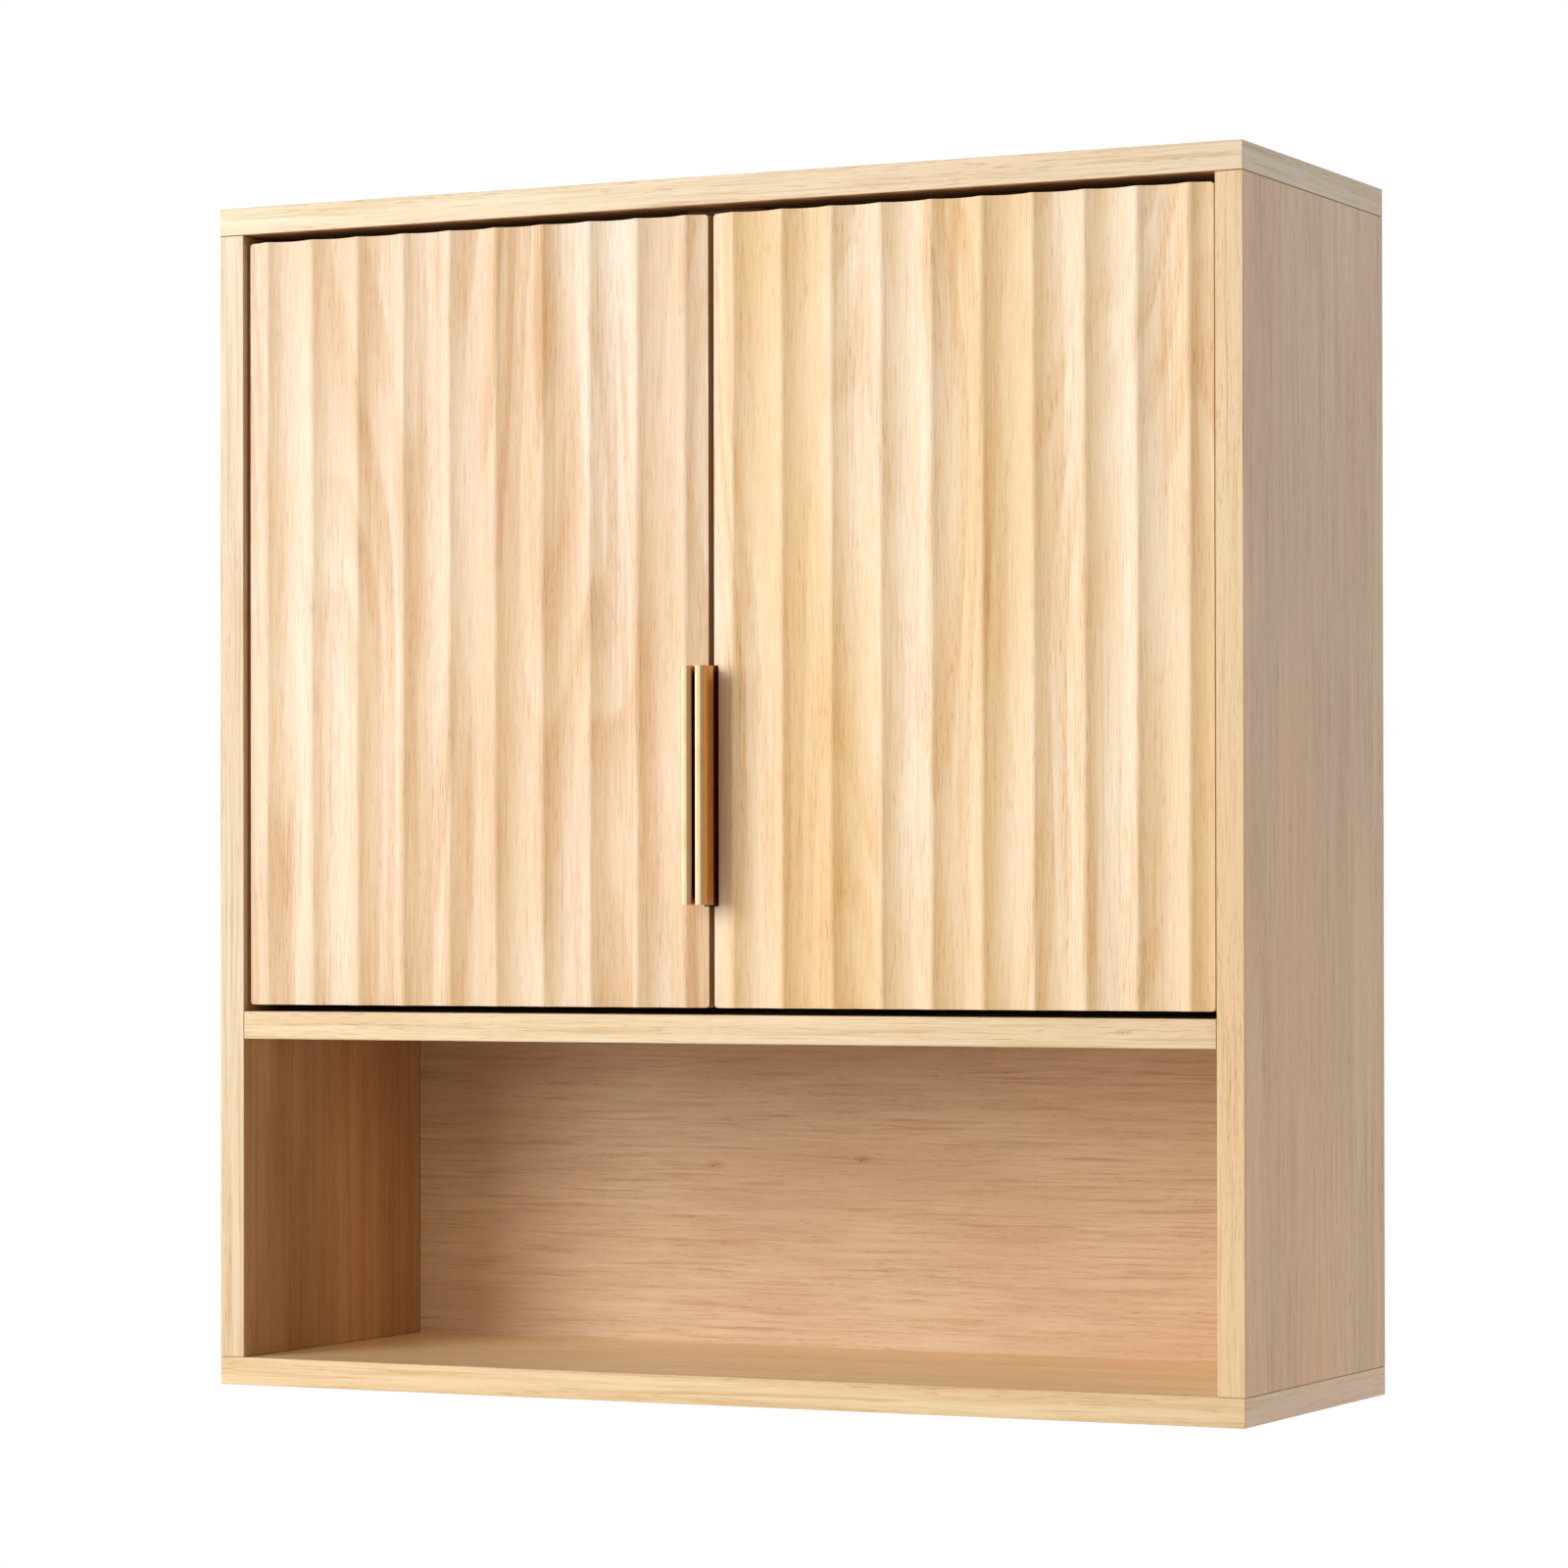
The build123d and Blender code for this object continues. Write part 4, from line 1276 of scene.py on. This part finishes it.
@dataclass
class Fastenings:
    """All screws that show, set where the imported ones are.

    Attributes:
        x_in: Inner face of the right-hand side panel.
        x_mid: Middle of the side panel's thickness.
        x_cup: Screws of the hinge cups.
        x_catch: Screws of the catch.
        x_strike: Screw of a strike plate.
        y_back: Back face of the doors.
        z_roof: Underside of the top panel.
        z_bottom: Underside of the cabinet.
        hinges: Heights of the two hinges.
        seat: Thickness, setback from the doors and screw pitch of a hinge seat's wings.
        arm: Outer face from the side panel, and setback from the wings, of a hinge arm's screw.
        cup: Thickness and screw pitch of a hinge cup's flange.
        ear: Setback from the doors and thickness of the catch's ears.
        strike: Thickness of a strike plate, and its screw's drop from the top panel.
        plate: Screws of the right-hand hanger plate.
    """

    x_in: float = 285.0 * MM
    x_mid: float = 292.5 * MM
    x_cup: float = 254.4 * MM
    x_catch: float = 19.0 * MM
    x_strike: float = 12.0 * MM
    y_back: float = -189.4 * MM
    z_roof: float = 19.0 * MM
    z_bottom: float = -611.0 * MM
    hinges: tuple[float, float] = (-327.8 * MM, -60.7 * MM)
    seat: Point = (3.0 * MM, 37.0 * MM, 32.0 * MM)
    arm: tuple[float, float] = (8.7 * MM, 26.0 * MM)
    cup: tuple[float, float] = (1.0 * MM, 48.0 * MM)
    ear: tuple[float, float] = (9.6 * MM, 3.0 * MM)
    strike: tuple[float, float] = (1.2 * MM, 11.0 * MM)
    plate: tuple[Point, ...] = (
        (292.5 * MM, 0.0, 26.5 * MM),
        (257.5 * MM, 0.0, 26.5 * MM),
        (292.5 * MM, 0.0, -8.5 * MM),
    )

    def build(self, finishes: Finishes) -> None:
        """Model and dress the screws of every fitting."""
        near = Screw()
        clamp = Screw(7.5 * MM, 2.5 * MM, 4.5 * MM)
        wing, setback, pitch = self.seat
        y_wing = self.y_back + setback
        wings = [(self.x_in - wing, y_wing, z) for z in self._pairs(pitch)]
        arms = [(self.x_in - self.arm[0], y_wing + self.arm[1], z) for z in self.hinges]
        for word, kind, spots in (("hinge_seat_screws", near, wings), ("hinge_arm_screws", clamp, arms)):
            pair = []
            for side in Side:
                there = [(side.value * x, y, z) for x, y, z in spots]
                pair.append(kind.set(f"{word}_{side.word}", there, (side.value, 0, 0)))
            whole = Bench.join(pair, f"crosshead_{word}")
            Bench.dress(whole, finishes.steel, "carcass", "screw_steel", word)

        below = [(self.x_mid, y, self.z_bottom) for y in JOINT_ROWS]
        ears = [(self.x_catch, self.y_back + self.ear[0], self.z_roof - self.ear[1])]
        long = Screw(50.0 * MM, 3.5 * MM, 5.0 * MM)
        for word, kind, spots, along in (
            ("hanger_screws", Screw(20.0 * MM), self.plate, (0, -1, 0)),
            ("bottom_screws", long, below, (0, 0, 1)),
            ("catch_screws", near, ears, (0, 0, 1)),
        ):
            made = kind.set(f"crosshead_{word}", mirrored(spots), along)
            Bench.dress(made, finishes.steel, "carcass", "screw_steel", word)
        for side in Side:
            self._door(side, near, finishes)

    def _pairs(self, pitch: float) -> list[float]:
        """Heights of the two screws at each hinge."""
        return [z + way * pitch / 2 for z in self.hinges for way in (-1, 1)]

    def _door(self, side: Side, kind: Screw, finishes: Finishes) -> None:
        """Screws on the back of one door."""
        sign, word = side.value, side.word
        flange, pitch = self.cup
        cups = [(sign * self.x_cup, self.y_back + flange, z) for z in self._pairs(pitch)]
        pulls = [(sign * x, y, z) for x, y, z in EdgePull(side).spots()]
        strike = [(sign * self.x_strike, self.y_back + self.strike[0], self.z_roof - self.strike[1])]
        for node, spots in (("cup_screws", cups), ("handle_screws", pulls), ("strike_screw", strike)):
            made = kind.set(f"crosshead_{word}_{node}", spots, (0, -1, 0))
            Bench.dress(made, finishes.steel, f"{word}_door", "screw_steel", f"{word}_{node}")


@dataclass
class SoftCopies:
    """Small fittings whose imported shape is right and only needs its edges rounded.

    Attributes:
        fine: Rounding of thin plates and magnets.
        cup: Rounding of the hinge cups.
        plate: Rounding of pins and plates.
        arm: Rounding of hinge arms and seats.
        moulded: Rounding of moulded plastic.
    """

    fine: float = 0.2 * MM
    cup: float = 0.25 * MM
    plate: float = 0.3 * MM
    arm: float = 0.4 * MM
    moulded: float = 0.5 * MM

    def build(self, finishes: Finishes) -> None:
        """Copy, round and dress the small fittings."""
        self._one("catch_housing", finishes.plastic, "carcass", "catch_plastic", self.moulded)
        self._one("catch_magnets", finishes.magnet, "carcass", "magnet_steel", self.fine)
        self._one("shelf_pins", finishes.nickel, "carcass", "hinge_nickel", self.plate)
        for side in Side:
            word = side.word
            self._one(f"{word}_hanger_plate", finishes.zinc, "carcass", "plate_zinc", self.plate)
            self._one(f"{word}_strike_plate", finishes.zinc, f"{word}_door", "plate_zinc", self.fine)
            for level in Level:
                stem = f"{word}_{level.value}_hinge"
                self._one(f"{stem}_cup", finishes.nickel, f"{word}_door", "hinge_nickel", self.cup)
                self._one(f"{stem}_arm", finishes.nickel, "carcass", "hinge_nickel", self.arm)
                self._one(f"{stem}_seat", finishes.nickel, "carcass", "hinge_nickel", self.arm)
                Bench.paint(f"{stem}_pin", finishes.steel)

    @staticmethod
    def _one(node: str, finish: bpy.types.Material, body: str, slot: str, width: float) -> None:
        """Copy one fitting."""
        piece = Bench.of_node(node, f"rounded_{node}")
        Bench.soften(piece, width)
        Bench.dress(piece, finish, body, slot, node)


@dataclass
class CamDiscs:
    """Cam discs of the carcass joints, with a cross recess in their faces.

    Attributes:
        radius: Radius of a disc.
        depth: Depth of a disc in its board.
        rim: Width of the raised rim.
        sunk: How far the face lies below the rim.
        cross: Half length, half width and depth of the recess.
        easing: Rounding of its edges.
        side: Place in X and Z of the discs in the right-hand side panel.
        shelf: Place in X and Z of the right-hand discs in the fixed shelf.
    """

    radius: float = 7.5 * MM
    depth: float = 12.0 * MM
    rim: float = 1.1 * MM
    sunk: float = 0.5 * MM
    cross: Point = (4.2 * MM, 0.7 * MM, 3.5 * MM)
    easing: float = 0.2 * MM
    side: tuple[float, float] = (285.0 * MM, -5.0 * MM)
    shelf: tuple[float, float] = (261.0 * MM, -421.6 * MM)

    def build(self, finishes: Finishes) -> None:
        """Model, place and dress the discs."""
        places = []
        for side in Side:
            turn = turned_to((side.value, 0, 0))
            for y in JOINT_ROWS:
                places.append(Matrix.Translation((side.value * self.side[0], y, self.side[1])) @ turn)
                places.append(Matrix.Translation((side.value * self.shelf[0], y, self.shelf[1])))
        made = Bench.copies(self._disc(), places, "cross_cam_discs")
        Bench.dress(made, finishes.zinc, "carcass", "cam_zinc", "cam_discs")

    def _disc(self) -> bpy.types.Object:
        """One disc with its face at the origin and its body along Z."""
        radii = (self.radius, self.radius)
        disc = Bench.drum("cam_disc", radii, (0, 0, 0), (0, 0, 1), self.depth, sides=48)
        Bench.edit(disc)
        Bench.choose(disc, "FACE", lambda middle, way: way.z < -ALONG)
        bpy.ops.mesh.inset(thickness=self.rim)
        Bench.extrude((0, 0, self.sunk))
        Bench.done()
        arm, wide, deep = self.cross
        for x, y in ((arm, wide), (wide, arm)):
            Bench.cut(disc, Bench.block("recess", (-x, -y, -1 * MM), (x, y, deep)))
        return Bench.soften(disc, self.easing)


# Studio


@dataclass(frozen=True)
class SoftBox:
    """A soft lamp that looks at the cabinet's middle.

    Attributes:
        name: Name of the lamp.
        place: Where it stands.
        power: Its power in watts.
        size: Its width and height.
        colour: Its colour.
        aim: Where it looks.
    """

    name: str
    place: Point
    power: float
    size: tuple[float, float]
    colour: Point
    aim: Point = (0, -0.15, -0.3)

    def build(self) -> None:
        """Add the lamp to the scene."""
        data = bpy.data.lights.new(self.name, "AREA")
        data.shape = "RECTANGLE"
        data.energy = self.power
        data.size, data.size_y = self.size
        data.color = self.colour
        lamp = bpy.data.objects.new(self.name, data)
        lamp.location = self.place
        way = Vector(self.aim) - Vector(self.place)
        lamp.rotation_euler = way.to_track_quat("-Z", "Y").to_euler()
        lamp.visible_glossy = lamp.visible_camera = False
        bpy.context.scene.collection.objects.link(lamp)


@dataclass
class Studio:
    """Camera, lights and floor round the cabinet.

    Attributes:
        eye: Place of the camera.
        turn: Its rotation in degrees.
        lens: Its focal length in millimetres.
        rise: Its vertical shift.
        floor_z: Height of the floor under the hung cabinet.
        ambient: Strength of the soft light from the front.
        backdrop: Strength of the soft light from the white backdrop behind.
        lamps: The soft boxes in front.
    """

    eye: Point = (1.25701463, -2.70202408, -0.35041123)
    turn: Point = (90.48976771, 0.09222295, 25.93381589)
    lens: float = 122.24673
    rise: float = 0.05
    floor_z: float = -1.9
    ambient: float = 0.02
    backdrop: float = 1.0
    lamps: tuple[SoftBox, ...] = (
        SoftBox("key_light", (-1.25, -2.3, 0.28), 52.8, (1.1, 1.8), (0.955, 0.965, 1.0)),
        SoftBox("fill_light", (0.1, -2.4, 0.3), 14.7, (1.4, 1.0), (1.0, 0.9, 0.75)),
    )

    def build(self) -> None:
        """Set up the camera, the lights, the world and the floor."""
        scene = bpy.context.scene
        scene.view_settings.view_transform = "Standard"
        data = bpy.data.cameras.new("photo_camera")
        data.lens = self.lens
        data.sensor_width = 36
        data.shift_y = self.rise
        data.clip_end = 50
        camera = bpy.data.objects.new("photo_camera", data)
        camera.location = self.eye
        camera.rotation_euler = [math.radians(angle) for angle in self.turn]
        scene.collection.objects.link(camera)
        scene.camera = camera
        for lamp in self.lamps:
            lamp.build()
        self._world(scene)
        self._floor()

    def _world(self, scene: bpy.types.Scene) -> None:
        """White behind the cabinet, and soft light from all round."""
        world = bpy.data.worlds.new("white_studio")
        world.use_nodes = True
        scene.world = world
        g = Graph(world.node_tree)
        path = g.node("ShaderNodeLightPath")
        x, y, _ = g.parts(g.place("Generated"))
        behind, left = y.ease(-0.5, 0.7), x.ease(-0.2, -0.55)
        front = tuple(self.ambient * part for part in (1.0, 0.9, 0.78, 1.0))
        light = g.mix(behind, front, (1.0, 0.95, 1.02, 1.0))
        shine = g.mix(g.math("MAXIMUM", left, behind * 0.8), (0.42, 0.34, 0.29, 1.0), (1.3, 1.25, 1.2, 1.0))
        shine = g.mix(x.ease(-0.62, -0.8), shine, (2.2, 2.15, 2.1, 1.0))
        kinds = ("Is Glossy Ray", "Is Transmission Ray", "Is Camera Ray")
        glossy, through, seen = (Value(g, path.outputs[kind]) for kind in kinds)
        light = g.mix(g.math("MAXIMUM", glossy, through), light, shine)
        light = g.mix(seen, light, WHITE)
        light = g.node("ShaderNodeBackground", None, {"Color": light, "Strength": self.backdrop})
        g.node("ShaderNodeOutputWorld", None, {"Surface": Value(g, light.outputs[0])})

    def _floor(self) -> None:
        """Pale floor well below the hung cabinet."""
        Bench.clear()
        bpy.ops.mesh.primitive_plane_add(size=6, location=(0, -0.5, self.floor_z))
        floor = Bench.settle(bpy.context.object, "studio_floor")
        material, g = new_material("pale_floor")
        x, y, z = g.parts(g.place())
        cloud = g.noise(g.vector(x * 2, y * 2, z * 2), 2.0)
        seen = Value(g, g.node("ShaderNodeLightPath").outputs["Is Camera Ray"])
        fade = seen * ((x * x + y * y) ** 0.5).ease(0.2, 2.2, 0.35, 1.0)
        colour = g.mix(cloud, (0.86, 0.86, 0.84, 1), (0.9, 0.9, 0.88, 1))
        pale = g.node("ShaderNodeBsdfDiffuse", None, {"Color": colour})
        white = g.node("ShaderNodeEmission", None, {"Color": WHITE})
        faces = {"Fac": fade, 1: Value(g, pale.outputs[0]), 2: Value(g, white.outputs[0])}
        above = g.node("ShaderNodeMixShader", None, faces)
        below = g.node("ShaderNodeBsdfTransparent")
        under = Value(g, g.node("ShaderNodeNewGeometry").outputs["Backfacing"])
        sides = {"Fac": under, 1: Value(g, above.outputs[0]), 2: Value(g, below.outputs[0])}
        whole = g.node("ShaderNodeMixShader", None, sides)
        g.node("ShaderNodeOutputMaterial", None, {"Surface": Value(g, whole.outputs[0])})
        floor.data.materials.append(material)


def main() -> None:
    """Build the cabinet's looks in order."""
    logging.basicConfig(level=logging.INFO, format="%(relativeCreated)6.0f ms  %(message)s")
    finishes = Finishes()
    Carcass().dress(finishes)
    woods = {
        Side.LEFT: DoorOak("oak_left_door", (3.31, 0.2, 1.75), (-0.155, -0.19)),
        Side.RIGHT: DoorOak(
            "oak_right_door",
            (8.12, 0.5, 5.4),
            (0.5, -0.1),
            cream=tone(252, 240, 220),
            tan=tone(241, 213, 165),
            blush=tone(242, 212, 164),
            flame=tone(226, 178, 114),
            ring=tone(228, 184, 126),
            figure=0.4,
        ),
    }
    for side in Side:
        word = side.word
        door, pull = FlutedDoor(side).build(), EdgePull(side).build()
        Bench.dress(door, woods[side].material(), f"{word}_door", "oak_doors", f"{word}_door_panel")
        Bench.dress(pull, finishes.brass, f"{word}_door", "brass_handles", f"{word}_handle")
    SoftCopies().build(finishes)
    CamDiscs().build(finishes)
    Fastenings().build(finishes)
    Studio().build()


if __name__ == "__main__":
    main()
